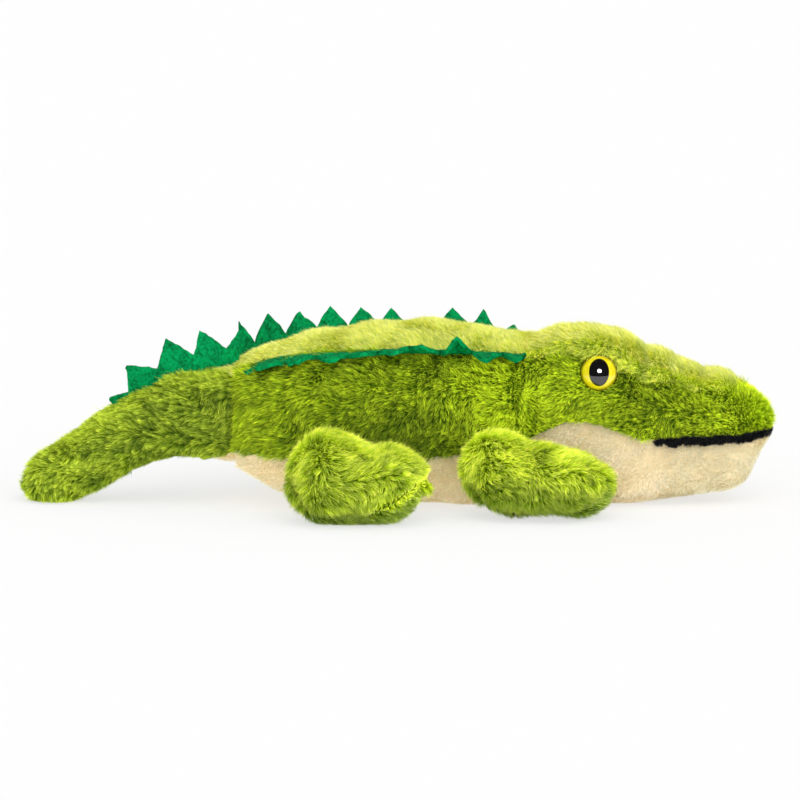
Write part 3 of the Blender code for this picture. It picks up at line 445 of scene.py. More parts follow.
def growPile(name, grid, plan, seed, trim=None):
    # Bend = root + half the length at the plan's lift from the skin. Tip = bend + the rest at
    # the plan's settle, nearer the lie of the pile. Tips draw together to the middle of their
    # tuft. Trim gives the share of the full length at each root.
    draw = np.random.default_rng(seed)
    p = grid["points"]
    area = gridAreas(p)
    count = int(area.sum() * 1e6 * plan["perMm2"] * detail)
    chance = np.cumsum(area.ravel())
    i, j = np.divmod(np.searchsorted(chance, draw.random(count) * chance[-1]), area.shape[1])
    u, v = draw.random((2, count, 1))

    def between(g):
        return (g[i, j] * (1 - u) * (1 - v) + g[i + 1, j] * u * (1 - v)
                + g[i, j + 1] * (1 - u) * v + g[i + 1, j + 1] * u * v)

    root, normal = between(p), unit(between(grid["normals"]))
    longer = np.ones(count)
    if trim is not None:
        longer = trim(root)
        stay = longer > strand["shortest"]
        root, normal, longer = root[stay], normal[stay], longer[stay]
        count = len(root)
    flow = plan["flow"](root)
    flow = unit(flow - normal * (flow * normal).sum(-1, keepdims=True) + 1e-6)
    beside = np.cross(normal, flow)
    swirl = (math.radians(plan["swirl"]) * wander(root, plan["swirlScale"], seed + 1)
             + math.radians(plan["stray"]) * draw.normal(size=count))[:, None]
    lean = np.cos(swirl) * flow + np.sin(swirl) * beside
    vary = np.clip(1 + strand["lengthSpread"] * draw.normal(size=count), *strand["lengthLimits"])
    length = (plan["length"] * longer * vary)[:, None]
    lift = np.radians(plan["lift"] + plan["ruffle"] * draw.normal(size=count))[:, None]
    settle = np.radians(plan["settle"] + plan["ruffle"] * draw.normal(size=count))[:, None]
    bend = root + length * strand["bendPart"] * (np.cos(lift) * lean + np.sin(lift) * normal)
    tip = bend + length * strand["tipPart"] * (np.cos(settle) * lean + np.sin(settle) * normal)

    # Tufts are the cells of a warped lattice.
    wave = [wander(root, 4 * plan["tuft"], seed + k) for k in (2, 3, 4)]
    warped = root + strand["warp"] * plan["tuft"] * np.stack(wave, -1)
    cell = np.floor(warped / plan["tuft"]).astype(np.int64)
    _, group = np.unique(cell @ cellKeys, return_inverse=True)
    group = group.ravel()
    size = np.bincount(group)
    centre = np.stack([np.bincount(group, tip[:, k]) / size for k in range(3)], -1)[group]
    away = np.linalg.norm(tip - centre, axis=1)
    vary = np.clip(1 + strand["gatherSpread"] * draw.normal(size=count), *strand["gatherLimits"])
    gather = (plan["gather"] * vary)[:, None]
    tip = tip + gather * (centre - tip)
    bend = bend + strand["bendGather"] * gather * (centre - tip)
    for end in (bend, tip):
        end[:, 2] = np.maximum(end[:, 2], strand["floorGap"])

    # Each tuft has a tone of its own, and its outer strands are darker: painted shade in the gaps
    # between tufts.
    tuft = draw.normal(size=len(size))[group]
    tone = 0.5 + strand["ownTone"] * draw.normal(size=count) + strand["tuftTone"] * tuft
    tone += strand["gapShade"] * (1 - away / away.mean())
    # Each plan's shade adds its painted light and shade by place, where it has any.
    tone += plan["blotch"] * wander(root, plan["toneScale"], seed + 5) + plan["shade"](root)
    made = strands(name, root, bend, tip, plan["width"], np.clip(tone, 0.02, 0.98), normal, draw)
    print(name, count, "strands")
    return made


def strands(name, root, bend, tip, width, tone, normal, draw):
    # A ribbon with a pair of points at the root, a pair at the bend and one at the tip, its
    # face turned outward. The UV map has the share of the length across and the tone up, a
    # little apart for each pair so that the triangles have an area there.
    count = len(root)
    axis = unit(tip - root)
    side = unit(np.cross(axis, normal) + 1e-7)
    over = np.cross(side, axis)
    roll = (np.radians(strand["roll"]) * (2 * draw.random(count) - 1))[:, None]
    across = np.cos(roll) * side + np.sin(roll) * over
    half = 0.5 * across * width * (0.75 + 0.5 * draw.random((count, 1)))
    verts = np.empty((count, 5, 3))
    for k, sign in enumerate((1, -1)):
        verts[:, k] = root + half * sign
        verts[:, 2 + k] = bend + half * strand["bendWidth"] * sign
    verts[:, 4] = tip
    shape = np.array([(0, 1, 3), (0, 3, 2), (2, 3, 4)])
    faces = (shape[None] + np.arange(count)[:, None, None] * 5).reshape(-1, 3)
    edge, nudge = strand["mapEdge"], strand["nudge"]
    uv = np.empty((count, 5, 2))
    uv[..., 0] = np.array([0.0, 0.0, 0.5, 0.5, 1.0]) * (1 - 2 * edge) + edge
    uv[..., 1] = tone[:, None] + np.array([-nudge, nudge, -nudge, nudge, 0.0])
    corner = uv[:, shape.ravel()].reshape(-1, 2)
    return putMesh(name, verts.reshape(-1, 3), faces, corner)


# Shader groups.

def newGroup(name, inputs, outputs):
    group = bpy.data.node_groups.new(name, "ShaderNodeTree")
    for label, kind, value in inputs:
        socket = group.interface.new_socket(label, in_out="INPUT", socket_type=kind)
        if value is not None:
            socket.default_value = value
    for label, kind in outputs:
        group.interface.new_socket(label, in_out="OUTPUT", socket_type=kind)
    return group, group.nodes.new("NodeGroupInput"), group.nodes.new("NodeGroupOutput")


def node(tree, kind, links=(), **values):
    # A node with its properties; links fills its inputs, by socket name or number.
    made = tree.nodes.new(kind)
    for key, value in values.items():
        setattr(made, key, value)
    for socket, source in dict(links).items():
        if isinstance(source, bpy.types.NodeSocket):
            tree.links.new(source, made.inputs[socket])
        else:
            made.inputs[socket].default_value = source
    return made


def maths(tree, kind, a, b=0.0, c=None):
    links = {0: a, 1: b}
    if c is not None:
        links[2] = c
    return node(tree, "ShaderNodeMath", links, operation=kind).outputs[0]


def mixColour(tree, share, a, b):
    return node(tree, "ShaderNodeMix", {0: share, 6: a, 7: b}, data_type="RGBA").outputs[2]


def smooth(tree, value, low, high):
    # Smooth step of a socket: 0 below low, 1 above high.
    made = node(tree, "ShaderNodeMapRange", {0: value, 1: low, 2: high},
                interpolation_type="SMOOTHSTEP")
    return made.outputs[0]


colour = "NodeSocketColor"
number = "NodeSocketFloat"
vector = "NodeSocketVector"


def pileGroup():
    # A strand's colour: root to middle to tip along it, then lighter or darker by its tone.
    group, given, out = newGroup(
        "pileColour",
        [("Place", vector, None), ("Root", colour, None), ("Middle", colour, None),
         ("Tip", colour, None), ("Contrast", number, 0.6)],
        [("Colour", colour)])
    apart = node(group, "ShaderNodeSeparateXYZ", {0: given.outputs["Place"]})
    # Dark roots are painted shade deep in the pile; light tips are partly the fibre's own colour and
    # partly painted light where they catch it.
    lower = mixColour(group, smooth(group, apart.outputs[0], 0.02, 0.55),
                      given.outputs["Root"], given.outputs["Middle"])
    upper = mixColour(group, smooth(group, apart.outputs[0], 0.45, 1.0), lower, given.outputs["Tip"])
    off = maths(group, "SUBTRACT", apart.outputs[1], 0.5)
    bright = maths(group, "ADD", maths(group, "MULTIPLY", off, given.outputs["Contrast"]), 1.0)
    hue = maths(group, "ADD", maths(group, "MULTIPLY", off, -0.035), 0.5)
    shade = node(group, "ShaderNodeHueSaturation", {"Hue": hue, "Value": bright, "Color": upper})
    group.links.new(shade.outputs[0], out.inputs[0])
    return group


def fuzzGroup():
    # Cloth seen through its pile: the colour in soft patches and fine knitted flecks.
    group, given, out = newGroup(
        "fuzzColour",
        [("Place", vector, None), ("Dark", colour, None), ("Light", colour, None),
         ("Fleck", number, 900.0), ("Patch", number, 60.0)],
        [("Colour", colour), ("Height", number)])
    fleck = node(group, "ShaderNodeTexNoise", {"Vector": given.outputs["Place"],
                 "Scale": given.outputs["Fleck"], "Detail": 3.0, "Roughness": 0.7})
    wide = node(group, "ShaderNodeTexNoise", {"Vector": given.outputs["Place"],
                "Scale": given.outputs["Patch"], "Detail": 2.0, "Roughness": 0.5})
    both = maths(group, "ADD", maths(group, "MULTIPLY", fleck.outputs[0], 0.65),
                 maths(group, "MULTIPLY", wide.outputs[0], 0.35))
    share = smooth(group, both, 0.3, 0.7)
    tint = mixColour(group, share, given.outputs["Dark"], given.outputs["Light"])
    group.links.new(tint, out.inputs[0])
    group.links.new(fleck.outputs[0], out.inputs[1])
    return group


pileColour = pileGroup()
fuzzColour = fuzzGroup()


def linear(r, g, b):
    # A screen colour of 0 to 255 as light.
    share = np.array([r, g, b]) / 255
    light = np.where(share <= 0.04045, share / 12.92, ((share + 0.055) / 1.055) ** 2.4)
    return (*[float(x) for x in light], 1.0)


def newMaterial(name, roughness=0.9):
    made = bpy.data.materials.new(name)
    made.use_nodes = True
    shader = made.node_tree.nodes["Principled BSDF"]
    shader.inputs["Roughness"].default_value = roughness
    shader.inputs["Specular IOR Level"].default_value = 0.12
    return made, made.node_tree, shader


def pileMaterial(name, root, middle, tip, contrast=0.6):
    made, tree, shader = newMaterial(name, 0.9)
    shader.inputs["Specular IOR Level"].default_value = 0.08
    place = node(tree, "ShaderNodeUVMap", uv_map="OFBake")
    group = node(tree, "ShaderNodeGroup", node_tree=pileColour)
    tree.links.new(place.outputs[0], group.inputs["Place"])
    for label, value in (("Root", root), ("Middle", middle), ("Tip", tip)):
        group.inputs[label].default_value = linear(*value)
    group.inputs["Contrast"].default_value = contrast
    tree.links.new(group.outputs[0], shader.inputs["Base Color"])
    return made


def fuzzMaterial(name, dark, light, fleck=900.0, patchScale=60.0, roughened=0.3):
    made, tree, shader = newMaterial(name, 0.95)
    shader.inputs["Specular IOR Level"].default_value = 0.03
    place = node(tree, "ShaderNodeTexCoord")
    group = node(tree, "ShaderNodeGroup", node_tree=fuzzColour)
    tree.links.new(place.outputs["Object"], group.inputs["Place"])
    group.inputs["Dark"].default_value = linear(*dark)
    group.inputs["Light"].default_value = linear(*light)
    group.inputs["Fleck"].default_value = fleck
    group.inputs["Patch"].default_value = patchScale
    tree.links.new(group.outputs["Colour"], shader.inputs["Base Color"])
    relief = node(tree, "ShaderNodeBump", {"Strength": roughened, "Distance": 0.0004,
                  "Height": group.outputs["Height"]})
    tree.links.new(relief.outputs[0], shader.inputs["Normal"])
    return made


# Finishes: screen colours of a strand's root, middle and tip, and how far tone moves them. The dark
# roots are painted shade deep in the pile, the light tips partly the fibre's own colour and partly
# painted light.

pile = {
    "side": {"root": (32, 58, 0), "middle": (144, 184, 0), "tip": (234, 253, 56), "contrast": 1.25},
    "leg": {"root": (56, 86, 0), "middle": (180, 214, 6), "tip": (246, 254, 104), "contrast": 1.0},
    # The sole is a little darker in the middle than the leg: painted shade under the leg.
    "sole": {"root": (66, 98, 2), "middle": (166, 198, 18), "tip": (234, 246, 126), "contrast": 1.0},
    "tail": {"root": (34, 60, 0), "middle": (110, 146, 0), "tip": (210, 232, 76), "contrast": 1.25},
    "lime": {"root": (204, 228, 40), "middle": (248, 254, 92), "tip": (255, 255, 166),
             "contrast": 0.45},
    "brow": {"root": (160, 198, 6), "middle": (236, 252, 46), "tip": (254, 255, 134),
             "contrast": 0.75},
    "cream": {"root": (244, 222, 172), "middle": (254, 242, 208), "tip": (255, 251, 232),
              "contrast": 0.2},
    # The jaw is a slightly darker copy of the cream: painted shade on the jaw.
    "jaw": {"root": (242, 222, 176), "middle": (252, 240, 208), "tip": (255, 250, 230),
            "contrast": 0.3},
}
# The cloth under the pile, dark and light.
cloth = {
    "side": ((60, 92, 0), (100, 136, 0)),
    "leg": ((84, 118, 0), (130, 166, 8)),
    "tail": ((64, 94, 0), (104, 138, 4)),
    # The sole's cloth is a little darker than the leg's: painted shade under the leg.
    "sole": ((84, 116, 4), (126, 158, 20)),
    "lime": ((184, 208, 44), (216, 234, 84)),
    "cream": ((240, 218, 166), (252, 238, 200)),
    # The jaw's cloth is a slightly darker copy of the cream's: painted shade.
    "jaw": ((234, 214, 168), (246, 232, 198)),
}
pileLook = {kind: pileMaterial("pile_" + kind, **tones) for kind, tones in pile.items()}
skinLook = {kind: fuzzMaterial("skin_" + kind, *tones) for kind, tones in cloth.items()}


# Pile plans: strands for each square millimetre, lengths in metres, angles in degrees.

def lie(x, y, z):
    # The same lie everywhere.
    return lambda root: np.broadcast_to(np.array([x, y, z], float), root.shape)


def even(root):
    return np.zeros(len(root))


longPile = {
    "perMm2": 4.4, "length": 0.0062, "width": 0.00030, "lift": 70, "settle": 46, "ruffle": 14,
    "swirl": 34, "swirlScale": 0.026, "stray": 26, "tuft": 0.0019, "gather": 0.50,
    "toneScale": 0.022, "blotch": 0.055, "flow": lie(-0.8, 0, -0.45), "shade": even,
}

# What the sewn panels share.

sides = ((-1, "right"), (1, "left"))
skinShell = {"thickness": 0.0012, "tuckShares": (0.93, 0.80), "drapeOver": 0.0004,
             "drapeThick": 0.0006}
# How far skins are drawn in, so that their pile ends at the form.
drawnIn = 0.0018
seam = {
    "dent": 0.0016, "dentWidth": 0.0030, "topShare": 0.3, "shortest": 0.55, "reach": 0.0036,
    "overlap": 0.0004,
}


def onTop(angle):
    return ease(0.35, 0.88, np.sin(angle))


def atSide(angle):
    return 1 - ease(0.55, 0.90, np.abs(np.sin(angle)))


def dented(points, angle):
    # The cloth is drawn in at the neck's and the tail's seam, by a bell of the distance from
    # the nearer one, and most at the sides.
    x = points[..., 0]
    off = np.minimum(np.abs(x - trunk["tailSeamX"]), np.abs(x - trunk["neckX"]))
    share = seam["topShare"] + (1 - seam["topShare"]) * atSide(angle)
    return seam["dent"] * bump(off, 0, seam["dentWidth"]) * share


def besideSeam(root):
    # The pile is short on the side of a seam where it leans away, and falls over it on the other.
    share = np.ones(len(root))
    for place in (trunk["tailSeamX"], trunk["neckX"]):
        behind = place - root[:, 0]
        short = seam["shortest"] + (1 - seam["shortest"]) * ease(0, seam["reach"], behind)
        share = share * np.where(behind > -seam["overlap"], short, 1.0)
    return share


def tucked(grid, form, ends):
    # The cloth turns in at an open end, so that no gap shows in the seam: two rows more, drawn
    # in towards the form's axis.
    points, normals = grid["points"], grid["normals"]
    for row in ends:
        edge = points[row][None]
        axis = edge * np.array([1.0, 0, 0]) + np.array([0, form["shift"], form["waists"][0][1]])
        facing = np.array([form["way"] * (1.0 if row else -1.0), 0, 0])
        facing = np.broadcast_to(facing, edge.shape)
        extra = [axis + (edge - axis) * share for share in skinShell["tuckShares"]]
        if row == 0:
            points = np.concatenate([*extra[::-1], points])
            normals = np.concatenate([facing, facing, normals])
        else:
            points = np.concatenate([points, *extra])
            normals = np.concatenate([normals, facing, facing])
    return points, normals


def grow(name, grid, kind, plan, seed, trim):
    fur = growPile(name + "_pile", grid, plan, seed, trim)
    fur.data.materials.append(pileLook[kind])
    return fur


def sewOn(pieces, body, blend):
    for made in pieces:
        if blend is None:
            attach(made, body)
        else:
            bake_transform(made)


def dress(name, grid, kind, plan, seed, body, nodes, trim=None, blend=None, tuck=None):
    # A panel's skin and its pile, both on the same body.
    points, normals = tucked(grid, *tuck) if tuck else (grid["points"], grid["normals"])
    skin = shellMesh(name + "_skin", points, normals, skinShell["thickness"])
    skin.data.materials.append(skinLook[kind])
    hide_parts(*nodes)
    sewOn((skin, grow(name, grid, kind, plan, seed, trim)), body, blend)


def drape(name, grid, kind, plan, seed, body, blend, trim=None):
    # Lime pile that falls over the green cloth beside its own panel.
    raised = grid["points"] + skinShell["drapeOver"] * grid["normals"]
    under = shellMesh(name + "_cloth", raised, grid["normals"], skinShell["drapeThick"])
    under.data.materials.append(skinLook["lime"])
    sewOn((under, grow(name, grid, kind, plan, seed, trim)), body, blend)


# Trunk.

trunkSteps = {"rows": 64, "side": 40, "back": 56, "belly": 64}
trunkSwell = {"lumps": 0.0009, "lumpSize": 0.050, "rollWidth": 0.0060, "rise": 0.0020,
              "riseWidth": 0.0085, "dentShare": 0.5}
# Painted light and shade: strength, then start and end of a fade or middle and width of a band.
sidePaintedShading = {"all": -0.05, "neck": (0.46, 0.014, 0.050), "low": (-0.52, -0.005, 0.042),
            "lowFrom": 0.064, "lowFull": 0.040, "tail": (-0.06, -0.080, 0.020)}


def torsoSwell(along, angle, points):
    # Soft lumps. Near its ends the trunk rolls in at the sides to the width of the neck and of
    # the tail's root, and rises on top, both by a bell of the distance from the end.
    nearest = np.minimum(along, 1 - along) * trunk["length"]
    rolled = trunk["collar"] * bump(nearest, 0, trunkSwell["rollWidth"]) * atSide(angle)
    risen = trunkSwell["rise"] * bump(nearest, 0, trunkSwell["riseWidth"]) * onTop(angle)
    lumps = trunkSwell["lumps"] * wander(points, trunkSwell["lumpSize"], 11)
    return lumps - drawnIn + risen - rolled - trunkSwell["dentShare"] * dented(points, angle)


def sidePaintedLight(root):
    # Painted light towards the neck, painted shade low down in the middle and at the tail.
    x, z = root[:, 0], root[:, 2]
    low = band(x, *sidePaintedShading["low"]) * ease(sidePaintedShading["lowFrom"], sidePaintedShading["lowFull"], z)
    return fade(x, *sidePaintedShading["neck"]) + sidePaintedShading["all"] + low + band(x, *sidePaintedShading["tail"])


sidePile = {**longPile, "shade": sidePaintedLight}
backPile = {
    **longPile, "perMm2": 5.5, "length": 0.0040, "width": 0.00028, "lift": 62, "settle": 36,
    "tuft": 0.0014, "gather": 0.35, "blotch": 0.03, "flow": lie(-1, 0, 0),
}
bellyPile = {
    **longPile, "perMm2": 2.2, "length": 0.0022, "lift": 60, "settle": 35, "tuft": 0.0012,
    "gather": 0.25, "flow": lie(-1, 0, -0.3),
}


def makeTrunk():
    sweeps, ends = np.linspace(0, 1, trunkSteps["rows"]), (torso, (0, -1))
    low, high = sideAngle(torso, bellyEdge), sideAngle(torso, backEdge)
    for side, word in sides:
        grid = patch(torso, low, high, sweeps, trunkSteps["side"], side, torsoSwell)
        dress("side_" + word, grid, "side", sidePile, 100 + side, "torso",
              ["side_panel_" + word], besideSeam, tuck=ends)
    grid = patch(torso, high, turnOver(high), sweeps, trunkSteps["back"], swell=torsoSwell)
    dress("back", grid, "lime", backPile, 110, "torso", ["back_panel", "torso_stuffing"], tuck=ends)
    grid = patch(torso, turnUnder(low), low, sweeps, trunkSteps["belly"], swell=torsoSwell)
    dress("belly", grid, "cream", bellyPile, 120, "torso", ["belly_panel"], tuck=ends)
    print("trunk dressed")


makeTrunk()

# Head.

headSteps = {"rows": 84, "cheek": 48, "crown": 56, "jaw": 72, "browRows": 78, "brow": 16}
headBlend = {"start": (trunk["neckX"] - 0.004, 0, 0), "end": (trunk["neckX"] + 0.026, 0, 0)}
# Shares of the head's length at which a puff of the snout ends and the next one starts.
puffStops = np.array([0.330, 0.484, 0.605, 0.726, 0.850])
# How far below the crown's seam the lime pile falls, by the share of the head's length.
limeDrop = ((0.00, 0.0020), (0.12, 0.0030), (0.22, 0.0060), (0.30, 0.0090), (0.38, 0.0092),
            (0.44, 0.0062), (0.50, 0.0064), (0.56, 0.0046), (0.605, 0.0030), (0.67, 0.0052),
            (0.72, 0.0028), (0.80, 0.0040), (0.85, 0.0018), (0.93, 0.0004), (1.0, 0.0))
# Strength, then start and end of a fade or middle and width of a band, along or round.
headForm = {
    "neck": (0.0042, 0.21, 0.04), "brow": (0.0020, 0.313, 0.130), "puff": 0.0018,
    "browRound": (math.radians(60), 0.262), "fold": (0.0028, 0.160, 0.050),
    "foldRound": (math.radians(57), 0.065), "snout": (0.0012, 0.45, 0.60),
    "chin": (0.0044, 0.970, 0.055), "noseTip": (0.0014, 0.95, 1.0), "lumps": 0.0006,
    "lumpSize": 0.045,
}
# Painted light and shade on the cheeks: strength, then start and end of a fade or middle and width of
# a band.
cheekPaintedShading = {"all": -0.03, "neck": (0.28, 0.072, 0.026), "snout": (0.36, 0.145, 0.180),
             "crease": (-0.55, 0.0035, 0.0026), "creaseFrom": (0.066, 0.074),
             "creaseTo": (0.104, 0.092)}
# Painted shade in the creases between the snout's puffs.
crownPaintedShading = {"depth": 0.42, "depthSpread": 0.20, "depthSize": 0.018, "sway": 0.010,
             "swaySize": 0.014, "behind": 0.012, "width": 0.015}
# Painted shade towards the chin: strength, then start and end of its fade.
jawShadeFade = (-0.70, 0.125, 0.165)
lip = {"start": 0.50, "shortest": 0.30, "low": 0.0005, "high": 0.0070}
cheekTop = {"shortest": 0.62, "low": 0.002, "high": 0.0120}
browHair = {"longer": 0.55, "place": 0.105, "width": 0.016, "inner": 0.012, "outer": 0.026}
eye = {
    "place": 0.0385, "height": 0.0725, "radius": 0.0100, "bulge": 0.0062, "flange": 0.0010,
    "tilt": math.radians(16), "seat": 0.0008, "pupilHalf": 0.0053, "pupilTall": 0.0073,
    "clear": 0.0094, "reach": 0.02, "shortFrom": 0.0090, "shortTo": 0.0140, "shortest": 0.45,
}


def neckRise(along):
    # The neck is fuller on top than the head's own section.
    return fade(along, *headForm["neck"])


def headSwell(along, angle, points):
    # Added: a bell over each eye for the brow, a sine to the power 0.7 for each puff on top
    # of the snout, the neck's rise and soft lumps. Taken off: a bell for the fold behind the
    # brow, the snout's upper side, the chin and the top of the nose.
    lifted = np.arcsin(np.sin(angle))
    brow = band(along, *headForm["brow"]) * bump(lifted, *headForm["browRound"])
    fold = band(along, *headForm["fold"]) * bump(lifted, *headForm["foldRound"])
    at = np.clip(np.searchsorted(puffStops, along) - 1, 0, len(puffStops) - 2)
    share = np.clip((along - puffStops[at]) / (puffStops[at + 1] - puffStops[at]), 0, 1)
    puff = np.sin(math.pi * share) ** 0.7 * ease(0.55, 0.95, lifted) * ease(0.40, 0.50, along)
    snout = fade(along, *headForm["snout"]) * ease(0.2, 0.8, lifted)
    low, high = ease(0.0, 0.9, -np.sin(angle)), ease(0.0, 0.5, np.sin(angle))
    chin = band(along, *headForm["chin"]) * low - fade(along, *headForm["noseTip"]) * high
    lumps = headForm["lumps"] * wander(points, headForm["lumpSize"], 31)
    return (brow + headForm["puff"] * puff + neckRise(along) * onTop(angle) - snout - chin - fold
            + lumps - drawnIn - dented(points, angle))


def belowCrown(root):
    # The share of the head's length at a root, and how far it is below the crown's seam.
    along = np.clip((root[:, 0] - trunk["neckX"]) / headSize["length"], 0, 1)
    return along, crownEdge(sweepAt(head, along)) + 0.92 * neckRise(along) - root[:, 2]


def browEdge(s):
    return crownEdge(s) - np.interp(sections(head, s)[0], *np.transpose(limeDrop))


def eyeFrame(side):
    # The eye's middle and its forward, up and outward directions.
    sweep = sweepAt(head, eye["place"] / headSize["length"])
    spot = formPoint(head, sweep, angleAt(head, sweep, eye["height"])) * np.array([1, side, 1])
    outward = np.array([0, side * math.cos(eye["tilt"]), math.sin(eye["tilt"])])
    up = np.array([0, -side * math.sin(eye["tilt"]), math.cos(eye["tilt"])])
    return spot - outward * eye["seat"], np.cross(up, outward), up, outward


def fromEye(root, side):
    # How far each root is from the eye's axis, and which roots lie near that eye.
    middle, forward, up, outward = eyeFrame(side)
    off = root - middle
    return np.hypot(off @ forward, off @ up), np.abs(off @ outward) < eye["reach"]


def cheekTrim(side):
    # No strand under the eye or the lime pile; short ones round the eye, over the lip and up
    # to the crown's seam.
    def trim(root):
        far, near = fromEye(root, side)
        short = ease(eye["shortFrom"], eye["shortTo"], far) * (1 - eye["shortest"]) + eye["shortest"]
        eyeShare = np.where(near, np.where(far < eye["clear"], 0.0, short), 1.0)
        along, below = belowCrown(root)
        over = ease(lip["low"], lip["high"], root[:, 2] - mouthLine(along))
        lipShare = np.where(along > lip["start"], lip["shortest"] + (1 - lip["shortest"]) * over, 1.0)
        topShare = ease(cheekTop["low"], cheekTop["high"], below)
        topShare = cheekTop["shortest"] + (1 - cheekTop["shortest"]) * topShare
        limed = below < np.interp(along, *np.transpose(limeDrop))
        return np.where(limed, 0.0, eyeShare * besideSeam(root) * lipShare * topShare)
    return trim


def crownTrim(root):
    # Longer over the eyes.
    across = ease(browHair["inner"], browHair["outer"], np.abs(root[:, 1]))
    brow = bump(root[:, 0], browHair["place"], browHair["width"]) * across
    return besideSeam(root) * (1 + browHair["longer"] * brow)


def browTrim(side):
    # As on the crown, but none under the eye.
    def trim(root):
        far, near = fromEye(root, side)
        return np.where(near & (far < eye["clear"]), 0.0, 1.0) * crownTrim(root)
    return trim


def crownLie(root):
    # Back along the middle, and outward over the seam at the sides.
    side = np.sign(root[:, 1]) * ease(0.006, 0.026, np.abs(root[:, 1]))
    return np.stack([-1 + 0.5 * np.abs(side), 1.3 * side, -0.5 * np.abs(side)], -1)


def cheekPaintedLight(root):
    # Painted light behind the eye and on the snout, darker between them, and painted shade in the
    # crease that runs from the neck up to the brow.
    x = root[:, 0]
    crease = band(belowCrown(root)[1], *cheekPaintedShading["crease"])
    crease = crease * ease(*cheekPaintedShading["creaseFrom"], x) * ease(*cheekPaintedShading["creaseTo"], x)
    return band(x, *cheekPaintedShading["neck"]) + fade(x, *cheekPaintedShading["snout"]) + cheekPaintedShading["all"] + crease


def crownPaintedShade(root):
    # Painted shade in the creases between the puffs.
    along = (root[:, 0] - trunk["neckX"]) / headSize["length"]
    along = along + crownPaintedShading["sway"] * wander(root, crownPaintedShading["swaySize"], 95)
    depth = crownPaintedShading["depth"] + crownPaintedShading["depthSpread"] * wander(root, crownPaintedShading["depthSize"], 96)
    stops = puffStops[1:] - crownPaintedShading["behind"]
    return -depth * sum(bump(along, stop, crownPaintedShading["width"]) for stop in stops)


def jawPaintedShade(root):
    # Painted shade, darker towards the chin.
    return fade(root[:, 0], *jawShadeFade)


cheekPile = {
    **longPile, "perMm2": 4.8, "length": 0.0056, "flow": lie(-0.8, 0, -0.3), "shade": cheekPaintedLight,
}
crownPile = {
    **longPile, "perMm2": 4.8, "length": 0.0056, "lift": 62, "settle": 34, "flow": crownLie,
    "shade": crownPaintedShade,
}
jawPile = {
    **longPile, "perMm2": 3.4, "length": 0.0022, "width": 0.00028, "lift": 60, "settle": 36,
    "tuft": 0.0012, "gather": 0.25, "flow": lie(-1, 0, -0.1), "shade": jawPaintedShade,
}


def makeHead():
    sweeps, ends = np.linspace(0, 1, headSteps["rows"]), (head, (0,))
    low, high = sideAngle(head, jawEdge), sideAngle(head, crownEdge)
    for side, word in sides:
        grid = patch(head, low, high, sweeps, headSteps["cheek"], side, headSwell)
        dress("cheek_" + word, grid, "side", cheekPile, 200 + side, "head",
              ["cheek_panel_" + word], cheekTrim(side), headBlend, ends)
    grid = patch(head, high, turnOver(high), sweeps, headSteps["crown"], swell=headSwell)
    dress("head_top", grid, "lime", crownPile, 210, "head", ["head_top_panel"], crownTrim,
          headBlend, ends)
    grid = patch(head, turnUnder(low), low, sweeps, headSteps["jaw"], swell=headSwell)
    dress("jaw", grid, "jaw", jawPile, 220, "head", ["jaw_panel", "head_stuffing"], None,
          headBlend, ends)
    lowBrow = sideAngle(head, browEdge)
    for side, word in sides:
        grid = patch(head, lowBrow, high, sweeps[:headSteps["browRows"]], headSteps["brow"], side,
                     headSwell)
        drape("brow_" + word, grid, "brow", crownPile, 230 + side, "head", headBlend,
              browTrim(side))
    print("head dressed")


makeHead()

# Tail.

tailSteps = {"rows": 60, "side": 44, "patchRows": 14, "patch": 20, "limeRows": 16, "lime": 20}
tailBlend = {"start": (trunk["tailSeamX"] + 0.004, 0, 0), "end": (trunk["tailSeamX"] - 0.022, 0, 0)}
tailPatch = {"end": 0.022 / tailSize["length"], "edge": 0.0285, "fall": 0.0080, "fallOver": 0.19}
limeTip = {"length": 0.115, "width": math.radians(34), "halfShare": 0.50, "above": 0.055}
underTail = {"shorter": 0.40, "from": 0.036, "full": 0.026, "upTo": 0.5}
# Strength, then start and end of a fade or middle and width of a band, along the tail.
tailForm = {
    "lumps": 0.0008, "lumpSize": 0.040, "rise": 0.0046, "riseOver": 0.15,
    "slim": (0.0024, 0.52, 0.85), "slimBelow": (0.0026, 0.71, 0.09),
    "rootBelow": (0.0014, 0.20, 0.13), "crease": (0.0014, 0.335, 0.018), "creaseSlant": 0.05,
}
# Painted light and shade on the tail's pile: strength, then start and end of a fade or middle and
# width of a band.
tailPaintedShading = {"tip": (0.22, -0.140, -0.185), "middle": (-0.08, -0.118, 0.020),
            "top": (0.40, 0.013, 0.001)}


def tailSwell(along, angle, points):
    # Added: soft lumps and a rise on top of the root. Taken off: the slimmer outer half, two
    # bells along the underside and a slanting crease a third of the way to the tip.
    crease = band(along - tailForm["creaseSlant"] * np.sin(angle), *tailForm["crease"])
    nearRoot = np.clip(1 - along / tailForm["riseOver"], 0, 1)
    rise = tailForm["rise"] * nearRoot**1.5 * onTop(angle)
    low = ease(0.2, 0.8, -np.sin(angle))
    slim = fade(along, *tailForm["slim"]) * (1 - low) + band(along, *tailForm["slimBelow"]) * low
    slim += band(along, *tailForm["rootBelow"]) * low
    lumps = tailForm["lumps"] * wander(points, tailForm["lumpSize"], 21)
    return lumps + rise - slim - crease - drawnIn - dented(points, angle)


def tailTop(x):
    return topAt(tail, sweepAt(tail, np.clip((trunk["tailSeamX"] - x) / tailSize["length"], 0, 1)))


def patchEdge(s):
    # The height of the cream patch's edge, which falls a little towards the tip.
    return tailPatch["edge"] - tailPatch["fall"] * s / tailPatch["fallOver"]


